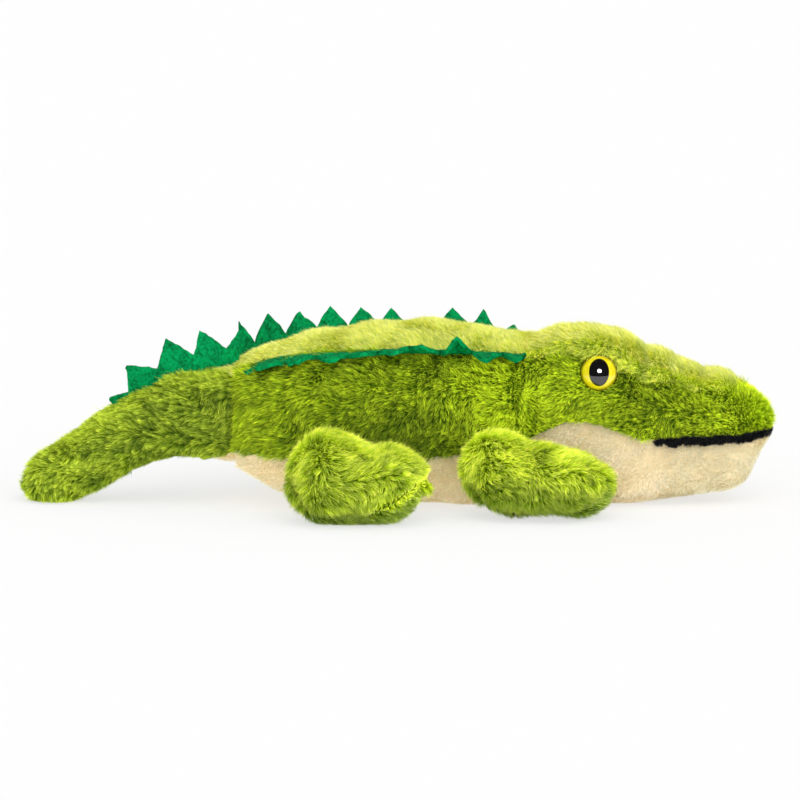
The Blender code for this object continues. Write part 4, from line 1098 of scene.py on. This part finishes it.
def tailLow(s):
    # The side panels reach down to the cream patch, and meet below behind it.
    edge, end = angleAt(tail, s, patchEdge(s)), tailPatch["end"]
    closing = edge + (-math.pi / 2 - edge) * ease(0.6 * end, end, s)
    return np.where(s < end, closing, -math.pi / 2)


def straightUp(s):
    return np.zeros_like(s) + math.pi / 2


def limeLow(s):
    # The back's lime ends in a point on top of the tail's root.
    return math.pi / 2 - limeTip["width"] * np.clip(1 - s / limeTip["length"], 0, 1)


def tailTrim(root):
    # The green pile leaves room for that point, and is shorter below.
    along = (trunk["tailSeamX"] - root[:, 0]) / tailSize["length"]
    half = np.clip(1 - along / limeTip["length"], 0, 1) * limeTip["halfShare"] * tailSize["halfWidth"]
    limed = (root[:, 2] > limeTip["above"]) & (np.abs(root[:, 1]) < half)
    below = fade(root[:, 2], underTail["shorter"], underTail["from"], underTail["full"])
    return np.where(limed, 0.0, besideSeam(root) * (1 - below * (along < underTail["upTo"])))


def tailPaintedLight(root):
    # Painted shade along the middle, painted light along the top, and lighter towards the tip.
    x = root[:, 0]
    return (fade(x, *tailPaintedShading["tip"]) + band(x, *tailPaintedShading["middle"])
            + fade(tailTop(x) - root[:, 2], *tailPaintedShading["top"]))


tailPile = {
    **longPile, "perMm2": 4.8, "lift": 62, "settle": 34, "tuft": 0.0024, "gather": 0.60,
    "flow": lie(-1, 0, -0.3), "shade": tailPaintedLight,
}


def makeTail():
    sweeps, ends = np.linspace(0, 1, tailSteps["rows"]), (tail, (0,))
    for side, word in sides:
        grid = patch(tail, tailLow, straightUp, sweeps, tailSteps["side"], side, tailSwell)
        dress("tail_" + word, grid, "tail", tailPile, 300 + side, "tail",
              ["tail_panel_" + word], tailTrim, tailBlend, ends)
    sweeps = np.linspace(0, tailPatch["end"], tailSteps["patchRows"])
    grid = patch(tail, turnUnder(tailLow), tailLow, sweeps, tailSteps["patch"], swell=tailSwell)
    dress("tail_under", grid, "cream", bellyPile, 310, "tail",
          ["tail_underside", "tail_stuffing"], None, tailBlend, ends)
    sweeps = np.linspace(0, limeTip["length"], tailSteps["limeRows"])
    grid = patch(tail, limeLow, turnOver(limeLow), sweeps, tailSteps["lime"], swell=tailSwell)
    drape("tail_lime", grid, "lime", backPile, 320, "tail", tailBlend)
    print("tail dressed")


makeTail()

# Legs.

legPlans = {
    "hind_leg": {
        "table": hindTable, "length": 0.073, "half": 0.0235, "height": 0.047, "behind": 0.019,
        "cap": 0.019, "place": 0.047, "plane": 0.0540, "pivot": 0.026, "sole": 0.0085,
        "soleRise": 0.0110, "splay": math.radians(6), "edge": 0.0044,
        "lift": 0.0018, "toeLift": 0.0024, "heelLift": -0.0040,
    },
    "front_leg": {
        "table": frontTable, "length": 0.078, "half": 0.0175, "height": 0.0447, "behind": 0.015,
        "cap": 0.0165, "place": 0.132, "plane": 0.0455, "pivot": 0.026, "sole": 0.0080,
        "soleRise": 0.0080, "splay": math.radians(6), "edge": 0.0060,
        "lift": 0.0036, "toeLift": -0.0024, "heelLift": -0.0030,
    },
}
legShape = {
    "sink": 0.0030, "reach": 0.0110, "ahead": 0.0020, "corner": 0.0042, "apart": 0.0008,
    "waists": (0.50, 0.44), "soleFrom": 0.6, "lumps": 0.0009, "lumpSize": 0.035, "toeTop": 0.0012,
}
legSteps = {"rows": 60, "top": 72, "sole": 36}
# Painted light and shade on the legs by height, and the paler band along the hand-closed seam.
legShadingAndSeam = {"top": (0.28, 0.022, 0.042), "floor": (-0.46, 0.024, 0.006), "front": 0.16,
           "frontLow": (-0.46, 0.030, 0.012), "parting": 0.60}
# The hand-closed seam on the right hind toe, and the band of short pile along it.
handSeam = {"low": 0.0085, "climb": 0.0150, "from": 0.62, "over": 0.36, "shorter": 0.76,
            "above": (0.0068, 0.0015), "below": (-0.0034, -0.0008), "along": (0.54, 0.64)}


def legForm(plan, side):
    # The leg about its own hip, before it is turned and put in place.
    pivot = plan["pivot"]
    heel, toe = (share * plan["height"] - pivot for share in legShape["waists"])
    rows = scaled(plan["table"], plan["half"], plan["height"])
    return {
        "length": plan["length"], "table": [(s, w, t - pivot, b - pivot) for s, w, t, b in rows],
        "waists": ((0.0, heel), (1.0, toe)),
        "originX": legShape["ahead"] - plan["behind"], "way": 1, "caps": (plan["cap"], plan["cap"]),
        "shift": side * (plan["half"] + legShape["apart"]),
    }


def legSwell(plan, side):
    # Drawn in for the pile but not at the toe, rounded up from the floor at the toe, at the
    # heel and along the outer edge, and rounded at the two outer corners.
    def swell(along, angle, points):
        inward = -side * np.cos(angle)
        low = ease(0.15, 0.95, -np.sin(angle))
        high = fade(along, legShape["toeTop"], 0.50, 0.75) * ease(0.3, 0.9, np.sin(angle))
        lift = plan["lift"] + fade(along, plan["toeLift"], 0.62, 0.98)
        lift = lift + fade(along, plan["heelLift"], 0.40, 0.05)
        edge = plan["edge"] * ease(0.0, 0.8, -inward) * ease(1.0, 0.75, along)
        sink = legShape["sink"] * (1 - 0.8 * ease(0.86, 1.0, along))
        atEnds = ease(0.34, 0.04, along) + ease(0.68, 0.97, along)
        corner = legShape["corner"] * atEnds * ease(0.1, 0.9, -inward)
        lumps = legShape["lumps"] * wander(points, legShape["lumpSize"], 41)
        return lumps - sink - high - corner - low * (lift + edge)
    return swell


def soleEdge(form, plan):
    # The edge between top and sole, which rises by the square of the way to the toe.
    def edge(s):
        start = legShape["soleFrom"]
        toe = np.clip((sections(form, s)[0] - start) / (1 - start), 0, 1)
        return angleAt(form, s, plan["sole"] + plan["soleRise"] * toe**2 - plan["pivot"])
    return edge


def hipOf(plan, side):
    return np.array([trunk["tailSeamX"] + plan["place"], side * plan["plane"], plan["pivot"]])


def putOnHip(grid, plan, side):
    # Turns a leg's patch by its splay and moves it to its hip.
    spin = turned(side * plan["splay"]).T
    grid["points"] = grid["points"] @ spin + hipOf(plan, side)
    grid["normals"] = grid["normals"] @ spin
    return grid


def reachInward(grid, form, side):
    # The inner side reaches over to the trunk, where the leg is sewn on.
    off = -side * (grid["points"][..., 1] - form["shift"]) / abs(form["shift"])
    grid["points"][..., 1] -= side * legShape["reach"] * ease(0.0, 0.85, off)
    return grid


def handSeamAt(along):
    # The height of the hand-closed seam, which climbs round the toe.
    climbed = np.clip((along - handSeam["from"]) / handSeam["over"], 0, 1)
    return handSeam["low"] + handSeam["climb"] * climbed


def parting(root):
    # 1 on the hand-closed seam, 0 away from it.
    plan, side = legPlans["hind_leg"], -1
    own = (root - hipOf(plan, side)) @ turned(side * plan["splay"])
    along = (own[:, 0] + plan["behind"] - legShape["ahead"]) / plan["length"]
    over = own[:, 2] + plan["pivot"] - handSeamAt(along)
    return (ease(*handSeam["above"], over) * ease(*handSeam["below"], over)
            * ease(*handSeam["along"], along))


def partingTrim(root):
    return 1 - handSeam["shorter"] * parting(root)


def legPaintedLight(root):
    # Painted light on top, painted shade towards the floor.
    return fade(root[:, 2], *legShadingAndSeam["top"]) + fade(root[:, 2], *legShadingAndSeam["floor"])


# The front leg: lighter overall, with more painted shade on its lower half.
def frontPaintedLight(root):
    return legPaintedLight(root) + legShadingAndSeam["front"] + fade(root[:, 2], *legShadingAndSeam["frontLow"])


def toeLightAndSeam(root):
    # The leg's painted light and shade, and paler along the hand-closed seam.
    return legPaintedLight(root) + legShadingAndSeam["parting"] * parting(root)


legPile = {
    **longPile, "perMm2": 4.6, "length": 0.0072, "lift": 66, "settle": 38, "tuft": 0.0025,
    "gather": 0.60, "stray": 32, "ruffle": 17, "flow": lie(0.75, 0, -0.75), "shade": legPaintedLight,
}
solePile = {
    **longPile, "perMm2": 3.8, "length": 0.0060, "lift": 60, "settle": 30,
    "flow": lie(0.8, 0, -0.6), "shade": legPaintedLight,
}
frontPile = {**legPile, "shade": frontPaintedLight}


def makeLeg(word, side, hand, seed):
    plan, name = legPlans[word], word + "_" + hand
    form = legForm(plan, side)
    swell, edge = legSwell(plan, side), soleEdge(form, plan)
    sweeps = np.linspace(0, 1, legSteps["rows"])
    upper = patch(form, edge, turnOver(edge), sweeps, legSteps["top"], swell=swell)
    under = patch(form, turnUnder(edge), edge, sweeps, legSteps["sole"], swell=swell)
    for grid in (upper, under):
        putOnHip(reachInward(grid, form, side), plan, side)
    topPlan, solePlan, trim = frontPile if word == "front_leg" else legPile, solePile, None
    if name == "hind_leg_right":
        topPlan, solePlan = {**legPile, "shade": toeLightAndSeam}, {**solePile, "shade": toeLightAndSeam}
        trim = partingTrim
    dress(name + "_top", upper, "leg", topPlan, seed, name, [name + "_top", name + "_stuffing"], trim)
    dress(name + "_sole", under, "sole", solePlan, seed + 5, name, [name + "_sole"], trim)


for number, word in enumerate(legPlans):
    for side, hand in sides:
        makeLeg(word, side, hand, 400 + 10 * number + side)
print("legs dressed")

# Felt crests.

felt = {
    "thickness": 0.0021, "height": 0.0170, "band": 0.0052, "pitch": 0.0163, "tipShare": 0.42,
    "curve": 0.80, "margin": 0.0037, "endMargin": 0.0002, "rightStart": 0.0030, "firstTip": 0.0008,
    "endRound": 0.0030, "endFall": 0.92, "rowCount": 12, "perPitch": 14, "knotGap": 0.0003,
    "inSeam": 0.15, "seamDepth": 0.0022, "stepOut": 0.0015, "sagRight": 0.0019,
    "sagLeft": 0.0006, "sagSize": 0.024, "wave": 0.0004, "waveSize": 0.012, "fray": 0.00022,
    "fraySize": 0.0035,
}
feltLook = fuzzMaterial("felt_green", (0, 84, 40), (0, 166, 92), 620.0, 200.0, 1.0)
# By the share of the trunk's length: lean up from level in degrees, and height as a share.
rightLeans = ((0.0, 0.0), (0.10, 4.0), (0.16, -4.0), (0.24, 5.0), (0.34, -3.0), (0.46, 8.0),
              (0.55, 3.0), (0.64, 14.0), (0.715, 8.0), (0.735, 22.0), (0.765, 35.0), (0.79, 15.0),
              (0.81, 2.0), (0.88, 4.0), (0.915, 13.0), (0.945, 1.0), (1.0, -4.0))
leftLeans = ((0.00, 85.0), (0.12, 80.0), (0.24, 53.0), (0.40, 46.0), (0.54, 42.0), (0.60, 24.0),
             (0.66, 18.0), (0.71, 44.0), (0.86, 46.0), (0.92, 36.0), (1.00, 30.0))
rightTall = ((0.0, 0.50), (0.04, 0.80), (0.07, 1.15), (0.80, 1.15), (0.88, 1.25), (1.0, 1.25))
leftTall = ((0.0, 1.52), (0.05, 1.28), (0.12, 1.07), (0.20, 1.08), (0.30, 1.10), (0.45, 1.06),
            (0.60, 0.95), (0.68, 0.95), (0.74, 1.12), (0.86, 1.02), (0.91, 0.72), (0.955, 0.82),
            (0.98, 0.72), (1.0, 0.45))


def feltSheet(name, points, body, stripNode):
    # A grid of points given the thickness of felt, half of it on each side.
    across, around = np.gradient(points, axis=0), np.gradient(points, axis=1)
    normals = unit(np.cross(across, around))
    made = shellMesh(name, points + normals * felt["thickness"] / 2, normals, felt["thickness"])
    made.data.materials.append(feltLook)
    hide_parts(stripNode)
    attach(made, body)


def toothed(distance):
    # 0 in a valley and 1 at a tip: straight lines between, to the power of the curve, which
    # makes the edges bulge a little.
    t = (distance / felt["pitch"] + felt["tipShare"]) % 1.0
    rise = np.where(t < felt["tipShare"], t / felt["tipShare"], (1 - t) / (1 - felt["tipShare"]))
    return rise ** felt["curve"]


def crestStations(start, stop, first):
    # Places along the strip: even ones, and one at every tip and valley.
    pitch = felt["pitch"]
    tips = first + pitch * np.arange((stop - first) // pitch + 1)
    knots = np.concatenate([tips, tips + pitch * (1 - felt["tipShare"])])
    knots = knots[(knots > start) & (knots < stop)]
    between = np.linspace(start, stop, int((stop - start) / pitch * felt["perPitch"]))
    between = between[np.abs(between[:, None] - knots).min(1) > felt["knotGap"]]
    return np.sort(np.concatenate([between, knots]))[:, None]


def backCrest(name, side, leans, tall, stripNode):
    # The strip leaves the seam level and bends up to its lean. Out and up are the sums of the
    # steps along it times the cosine and the sine of the bend. Its outer edge has the teeth.
    start = trunk["tailSeamX"] + (felt["rightStart"] if side < 0 else felt["endMargin"])
    stop = trunk["neckX"] - felt["endMargin"]
    first = trunk["tailSeamX"] - felt["firstTip"]
    x = crestStations(start, stop, first)
    alone = x[..., None] * np.array([1, 0, 0])
    along = (x - trunk["tailSeamX"]) / trunk["length"]
    height = backEdge(along)
    y = formPoint(torso, along, angleAt(torso, along, height))[..., 1]
    lean = np.radians(np.interp(along, *np.transpose(leans)))
    reach = felt["band"] + (felt["height"] - felt["band"]) * toothed(x - first)
    reach = reach * np.interp(along, *np.transpose(tall))
    fromEnd = np.minimum(x - start, stop - x) if side < 0 else stop - x
    nearEnd = np.clip(1 - fromEnd / felt["endRound"], 0, 1)
    reach = reach * np.sqrt(1 - felt["endFall"] * nearEnd**2)
    reach = reach + felt["fray"] * wander(alone, felt["fraySize"], 63 + side)
    v, inSeam = np.linspace(0, 1, felt["rowCount"])[None, :], felt["inSeam"]
    out = np.where(v < inSeam, -felt["seamDepth"] * (1 - v / inSeam), 0)
    out = out + felt["stepOut"] * ease(0, inSeam, v)
    free = np.clip((v - inSeam) / (1 - inSeam), 0, 1)
    bend = lean * ease(-0.25, 0.35, free)
    stepOut = np.concatenate([free[:, :1] * 0, np.diff(free, axis=1)], axis=1)
    outward = np.cumsum(np.cos(bend) * stepOut * reach, axis=1)
    upward = np.cumsum(np.sin(bend) * stepOut * reach, axis=1)
    sag = felt["sagRight" if side < 0 else "sagLeft"] * wander(alone, felt["sagSize"], 64 + side)
    upward = upward + sag * ease(0, 0.6, free)
    points = np.stack(np.broadcast_arrays(x, side * (y + out + outward), height + upward), -1)
    wave = felt["wave"] * free * wander(points, felt["waveSize"], 61 + side)
    points = points + wave[..., None] * np.array([0, 0.5, 1])
    feltSheet(name, points, "torso", stripNode)


tailCrest = {
    "length": 0.0688, "height": 0.0235, "rowCount": 10, "columns": 70, "ahead": 0.0008,
    "hidden": 0.0024, "evened": 0.1, "wave": 0.0010, "waveSize": 0.030, "fraySize": 0.004,
    # The edge's corners: place back from the seam and height over the tail, as shares.
    "teeth": (
        (0.000, 0.900), (0.100, 0.480), (0.200, 0.740), (0.300, 1.000), (0.334, 0.660),
        (0.354, 0.480), (0.450, 0.700), (0.567, 1.000), (0.602, 0.600), (0.622, 0.375),
        (0.720, 0.560), (0.862, 0.825), (0.835, 0.450), (0.809, 0.160), (0.900, 0.250),
        (0.995, 0.335), (0.955, 0.120), (0.926, 0.000),
    ),
}


def makeTailCrest():
    # Straight lines from the root in the seam up to the toothed edge, at even steps along
    # that edge and at its corners.
    teeth = np.array(tailCrest["teeth"])
    start = trunk["tailSeamX"] + tailCrest["ahead"]
    edgeX = start - tailCrest["length"] * teeth[:, 0]
    edgeZ = tailTop(edgeX) + tailCrest["height"] * teeth[:, 1]
    distance = np.concatenate([[0], np.cumsum(np.hypot(np.diff(edgeX), np.diff(edgeZ)))])
    steady = np.linspace(0, distance[-1], tailCrest["columns"])
    at = np.unique(np.round(np.concatenate([steady, distance]), 7))
    topX, topZ = np.interp(at, distance, edgeX), np.interp(at, distance, edgeZ)
    # The root never steps back where the edge does.
    rootEnd, evened = teeth[-1, 0], tailCrest["evened"]
    forward = np.maximum.accumulate(np.clip(teeth[:, 0] / rootEnd, 0, 1))
    forward = forward * (1 - evened) + evened * distance / distance[-1]
    rootX = start - tailCrest["length"] * rootEnd * np.interp(at, distance, forward)
    rootZ = tailTop(rootX) - tailCrest["hidden"]
    v = np.linspace(0, 1, tailCrest["rowCount"])[None, :]
    x = rootX[:, None] * (1 - v) + topX[:, None] * v
    z = rootZ[:, None] * (1 - v) + topZ[:, None] * v
    points = np.stack([x, 0 * x, z], -1)
    points[..., 1] += tailCrest["wave"] * v * wander(points, tailCrest["waveSize"], 71)
    frayX, frayZ = (wander(points, tailCrest["fraySize"], seed) for seed in (72, 73))
    points += felt["fray"] * (v**2)[..., None] * np.stack([frayX, 0 * x, frayZ], -1)
    feltSheet("tail_crest_felt", points, "tail", "tail_crest")


backCrest("back_crest_felt_right", -1, rightLeans, rightTall, "back_crest_right")
backCrest("back_crest_felt_left", 1, leftLeans, leftTall, "back_crest_left")
makeTailCrest()
print("crests made")

# Eyes.

def paintedMaterial(name, roughness, coat):
    made, tree, shader = newMaterial(name, roughness)
    shader.inputs["Coat Weight"].default_value = coat
    shader.inputs["Coat Roughness"].default_value = 0.03
    shader.inputs["Specular IOR Level"].default_value = 0.5
    return made, tree, shader


def irisMaterial():
    # Yellow that darkens to olive at the rim.
    made, tree, shader = paintedMaterial("eye_iris", 0.22, 1.0)
    place = node(tree, "ShaderNodeUVMap", uv_map="OFBake")
    apart = node(tree, "ShaderNodeSeparateXYZ", {0: place.outputs[0]})
    grain = node(tree, "ShaderNodeTexNoise",
                 {"Vector": place.outputs[0], "Scale": 14.0, "Detail": 3.0})
    warm = mixColour(tree, smooth(tree, grain.outputs[0], 0.35, 0.65),
                     linear(226, 208, 0), linear(240, 226, 20))
    # The dark olive rim is partly the eye's own dark outline and partly painted shade where the dome
    # turns away.
    rim = mixColour(tree, smooth(tree, apart.outputs[0], 0.78, 0.97), warm, linear(58, 52, 0))
    tree.links.new(rim, shader.inputs["Base Color"])
    return made


def pupilMaterial():
    made, tree, shader = paintedMaterial("eye_pupil", 0.08, 1.0)
    place = node(tree, "ShaderNodeTexCoord")
    grain = node(tree, "ShaderNodeTexNoise", {"Vector": place.outputs["Object"], "Scale": 500.0})
    tint = mixColour(tree, grain.outputs[0], linear(3, 3, 3), linear(12, 12, 13))
    tree.links.new(tint, shader.inputs["Base Color"])
    return made


# Rings from the dome's edge to the middle of its flat back: radius and height.
eyeRim = ((0.01005, 0.0007), (0.0099, 0.0002), (0.0095, 0.0), (0.006, 0.0), (0.0, 0.0))
# The black insert, by the share of its size: a raised skin with a soft edge, and its back.
pupilRaise = 0.00012
pupilBack = ((1.0, -0.0006), (0.6, -0.0009), (0.0, -0.0009))


def ringMesh(name, rings, axes, aspect=(1.0, 1.0), turns=72, follow=None):
    # Rings of (radius, height) about the eye's axis, from the front middle to the back middle.
    # With follow, a height is counted from that surface, which depends on the distance out.
    middle, forward, up, outward = axes
    radius, height = np.transpose(rings)
    angle = np.arange(turns + 1) * 2 * math.pi / turns
    u = radius[:, None] * np.cos(angle) * aspect[0]
    v = radius[:, None] * np.sin(angle) * aspect[1]
    w = np.broadcast_to(height[:, None], u.shape)
    if follow is not None:
        w = w + follow(np.hypot(u, v))
    points = middle + u[..., None] * forward + v[..., None] * up + w[..., None] * outward
    faces = gridFaces(len(rings), turns + 1)
    if np.dot(np.cross(forward, up), outward) > 0:
        faces = faces[:, ::-1]
    share = np.clip(radius / radius.max(), 0, 1)
    uv = np.stack(np.broadcast_arrays(share[:, None], angle / (2 * math.pi)), -1).reshape(-1, 2)
    return weldMesh(putMesh(name, points.reshape(-1, 3), faces, uv[faces].reshape(-1, 2)), True)


def finishHard(made, look, slot, *nodes):
    made.data.materials.append(look)
    if nodes:
        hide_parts(*nodes)
    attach(made, "head")


def domeHeight(ball):
    # The height of a ball's cap at a distance from its axis.
    return lambda radius: eye["bulge"] - ball + np.sqrt(ball**2 - radius**2)


irisLook, pupilLook = irisMaterial(), pupilMaterial()


def makeEye(side, word):
    # The dome is part of a ball that has the eye's radius at its edge and its bulge above it.
    axes = eyeFrame(side)
    rise = eye["bulge"] - eye["flange"]
    ball = (eye["radius"] ** 2 + rise**2) / (2 * rise)
    swing = np.linspace(0, math.asin(eye["radius"] / ball), 22)
    dome = [(ball * math.sin(a), eye["bulge"] - ball * (1 - math.cos(a))) for a in swing]
    iris = ringMesh("eye_iris_" + word, [*dome, *eyeRim], axes)
    finishHard(iris, irisLook, "eye_yellow", "eye_" + word, "eye_washer_" + word)
    rings = [(s, pupilRaise * (1 - 0.8 * s**6)) for s in np.linspace(0, 1, 14)]
    pupil = ringMesh("eye_black_" + word, [*rings, *pupilBack], axes,
                     (eye["pupilHalf"], eye["pupilTall"]), follow=domeHeight(ball))
    finishHard(pupil, pupilLook, "pupil_black", "pupil_" + word)


for side, word in sides:
    makeEye(side, word)
print("eyes made")

# Mouth cord.

mouth = {
    "radius": 0.0014, "flat": 0.80, "taperPower": 40, "frontTaper": 0.42, "taperWidth": 0.22,
    "early": 0.0020, "out": 0.0006, "frontSunk": 0.0022, "sunkWidth": 0.30, "turns": 12,
    "pointCount": 90, "sway": 0.0005, "swaySize": 0.014, "lumps": 0.18, "lumpSize": 0.007,
}
blackLook = pileMaterial("pile_black", (2, 2, 2), (14, 14, 15), (52, 52, 54), 0.9)
cordLook = fuzzMaterial("cord_black", (2, 2, 2), (20, 20, 21))
cordPile = {
    **longPile, "perMm2": 9.0, "length": 0.0017, "width": 0.00026, "lift": 62, "settle": 40,
    "swirl": 90, "swirlScale": 0.006, "stray": 60, "tuft": 0.0009, "gather": 0.3,
    "flow": lie(-1, 0, 0.2),
}


def makeMouth():
    # A soft tube along the seam between cheek and jaw, from one corner round the snout: each
    # ring is the path's point plus the radius times (flat cosine outward, sine up).
    start = sweepAt(head, (headSize["mouthStart"] - mouth["early"]) / headSize["length"])
    sweep = np.linspace(start, 1, mouth["pointCount"] // 2)
    along = sections(head, sweep)[0]
    angle = angleAt(head, sweep, mouthLine(along))
    angle[-1] = angle[-2]
    left = formPoint(head, sweep, angle)
    left[-1, 1] = 0
    left[..., 2] = mouthLine(along)
    path = np.concatenate([left[:-1] * np.array([1, -1, 1]), left[::-1]])
    up = np.array([0.0, 0.0, 1.0])
    out = unit(np.cross(unit(np.gradient(path, axis=0)), up))
    if out[len(out) // 2, 0] < 0:
        out = -out
    fromFront = np.linspace(-1, 1, len(path))
    sunk = mouth["frontSunk"] * bump(fromFront, 0, mouth["sunkWidth"])[:, None]
    path = path + out * (mouth["out"] - sunk)
    path[:, 2] += mouth["sway"] * wander(path, mouth["swaySize"], 81)
    taper = np.sqrt(np.clip(1 - np.abs(fromFront) ** mouth["taperPower"], 0.0, 1))
    front = 1 - mouth["frontTaper"] * bump(fromFront, 0, mouth["taperWidth"])
    lumps = 1 + mouth["lumps"] * wander(path, mouth["lumpSize"], 82)
    radius = mouth["radius"] * taper * front * lumps
    turn = np.linspace(0, 2 * math.pi, mouth["turns"] + 1)
    ring = (mouth["flat"] * np.cos(turn)[None, :, None] * out[:, None]
            + np.sin(turn)[None, :, None] * up)
    points = path[:, None] + ring * radius[:, None, None]
    normals = np.broadcast_to(unit(ring), points.shape)
    faces = gridFaces(len(path), mouth["turns"] + 1)
    cord = weldMesh(putMesh("mouth_cord", points.reshape(-1, 3), faces), True)
    finishHard(cord, cordLook, "cord_black", "mouth_trim")
    fuzz = growPile("mouth_fuzz", {"points": points, "normals": normals}, cordPile, 500)
    finishHard(fuzz, blackLook, "cord_black")
    print("mouth made")


makeMouth()

# Stitches of the hand-closed seam.

stitch = {
    "count": 12, "from": 0.62, "to": 0.96, "length": 0.0034, "radius": 0.00030, "out": 0.0026,
    "bow": 0.55, "slant": 1.0, "slantSpread": 0.4, "sides": 6, "knots": 7, "probe": 0.04,
}
threadLook = fuzzMaterial("thread", (34, 48, 4), (70, 92, 14))


def makeStitches():
    # Short threads bowed over the seam on the outer side of the right hind toe: each is a tube
    # whose radius is that of the thread times the root of (1 - t to the power 8).
    plan, side = legPlans["hind_leg"], -1
    form = legForm(plan, side)
    shares = np.linspace(stitch["from"], stitch["to"], stitch["count"])[:, None]
    sweeps = sweepAt(form, shares)
    spot = math.pi - angleAt(form, sweeps, handSeamAt(shares) - plan["pivot"])
    grid = patch(form, lambda s: spot - stitch["probe"], lambda s: spot + stitch["probe"],
                 sweeps[:, 0], 3, swell=legSwell(plan, side))
    putOnHip(grid, plan, side)
    middle, normal = grid["points"][:, 1], grid["normals"][:, 1]
    ahead = unit(np.gradient(middle, axis=0))
    across = unit(np.cross(normal, ahead))
    draw = np.random.default_rng(700)
    vary = 1 + stitch["slantSpread"] * draw.normal(size=(len(middle), 1))
    way = unit(across + stitch["slant"] * vary * ahead)
    knots, around = stitch["knots"], stitch["sides"]
    t = np.linspace(-1, 1, knots)[None, :, None]
    path = (middle[:, None] + way[:, None] * t * stitch["length"] / 2
            + normal[:, None] * stitch["out"] * (1 - stitch["bow"] * t**2))
    beside = unit(np.cross(way, normal))[:, None, None]
    turn = np.arange(around)[:, None] * 2 * math.pi / around
    thick = (stitch["radius"] * np.sqrt(1 - t**8))[..., None]
    rings = path[:, :, None] + thick * (np.cos(turn) * beside + np.sin(turn) * normal[:, None, None])
    i, j = np.meshgrid(np.arange(knots - 1) * around, np.arange(around), indexing="ij")
    a, b = (i + j).ravel(), (i + (j + 1) % around).ravel()
    tube = np.stack([a, a + around, b + around, b], axis=-1)
    faces = (tube + np.arange(len(middle))[:, None, None] * knots * around).reshape(-1, 4)
    made = weldMesh(putMesh("toe_stitches", rings.reshape(-1, 3), faces))
    made.data.materials.append(threadLook)
    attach(made, "hind_leg_right")
    print("stitches made")


makeStitches()

# Floor, light and camera.

studio = {
    "floorSize": 60.0, "floorWhite": 0.985, "floorShade": 0.96, "floorGlow": 0.66,
    "floorLit": 0.42, "worldStrength": 0.66, "glossyDim": 0.92, "cameraDistance": 6.0,
    "elevation": 8.5, "frameWidth": 0.4216, "aimX": 0.0007, "aimZ": 0.0533, "sensor": 36,
}
lamps = {
    "key": {"origin": (0.12, -0.62, 0.75), "strength": 0.98, "spread": 70, "leavesOut": "glossy"},
    "fill": {"origin": (0.55, -1.0, 0.12), "strength": 1.50, "spread": 100, "leavesOut": "glossy"},
    "spark": {"origin": (0.05, -0.80, 0.42), "strength": 9.0, "spread": 16, "leavesOut": "diffuse"},
}


def grey(level):
    return (level, level, level, 1)


def makeFloor():
    # A lit white table: white where the camera sees it, with a little light of its own.
    half = studio["floorSize"] / 2
    corners = half * np.array([(-1, -1, 0), (1, -1, 0), (1, 1, 0), (-1, 1, 0)])
    floor = putMesh("floor", corners, np.array([[0, 1, 2, 3]]), rounded=False)
    made, tree, shader = newMaterial("floor_white", 1.0)
    shader.inputs["Specular IOR Level"].default_value = 0.0
    seen = node(tree, "ShaderNodeLightPath").outputs["Is Camera Ray"]
    glow, lit = studio["floorGlow"], studio["floorLit"]
    tint = mixColour(tree, seen, grey(studio["floorShade"]), grey(studio["floorWhite"] - glow))
    tree.links.new(tint, shader.inputs["Base Color"])
    shader.inputs["Emission Color"].default_value = grey(1)
    shine = maths(tree, "MULTIPLY_ADD", seen, glow - lit, lit)
    tree.links.new(shine, shader.inputs["Emission Strength"])
    floor.data.materials.append(made)


def makeWorld():
    # White to the camera, its own strength as light, and nearly dark in reflections.
    world = bpy.data.worlds.new("studio")
    scene.world = world
    world.use_nodes = True
    tree = world.node_tree
    ground = tree.nodes["Background"]
    path = node(tree, "ShaderNodeLightPath")
    seen = node(tree, "ShaderNodeMapRange",
                {0: path.outputs["Is Camera Ray"], 3: studio["worldStrength"], 4: 1.0})
    glossy = maths(tree, "MULTIPLY", path.outputs["Is Glossy Ray"], studio["glossyDim"])
    strength = maths(tree, "MULTIPLY", seen.outputs[0], maths(tree, "SUBTRACT", 1.0, glossy))
    tree.links.new(strength, ground.inputs["Strength"])
    ground.inputs["Color"].default_value = grey(1)


def softSun(name, origin, strength, spread, leavesOut):
    data = bpy.data.lights.new(name, "SUN")
    data.energy = strength
    data.angle = math.radians(spread)
    lamp = bpy.data.objects.new(name, data)
    scene.collection.objects.link(lamp)
    lamp.rotation_euler = (-Vector(origin)).to_track_quat("-Z", "Y").to_euler()
    if leavesOut == "glossy":
        lamp.visible_glossy = False
    else:
        lamp.visible_diffuse = False


def makeCamera():
    data = bpy.data.cameras.new("camera")
    data.sensor_width = studio["sensor"]
    data.lens = studio["sensor"] * studio["cameraDistance"] / studio["frameWidth"]
    data.clip_start, data.clip_end = 0.1, 100
    camera = bpy.data.objects.new("camera", data)
    scene.collection.objects.link(camera)
    tilt = math.radians(studio["elevation"])
    back = Vector((0, -math.cos(tilt), math.sin(tilt)))
    camera.location = Vector((studio["aimX"], 0, studio["aimZ"])) + back * studio["cameraDistance"]
    camera.rotation_euler = (-back).to_track_quat("-Z", "Y").to_euler()
    scene.camera = camera


makeFloor()
makeWorld()
for name, lamp in lamps.items():
    softSun(name, **lamp)
makeCamera()
scene.view_settings.view_transform = "Standard"
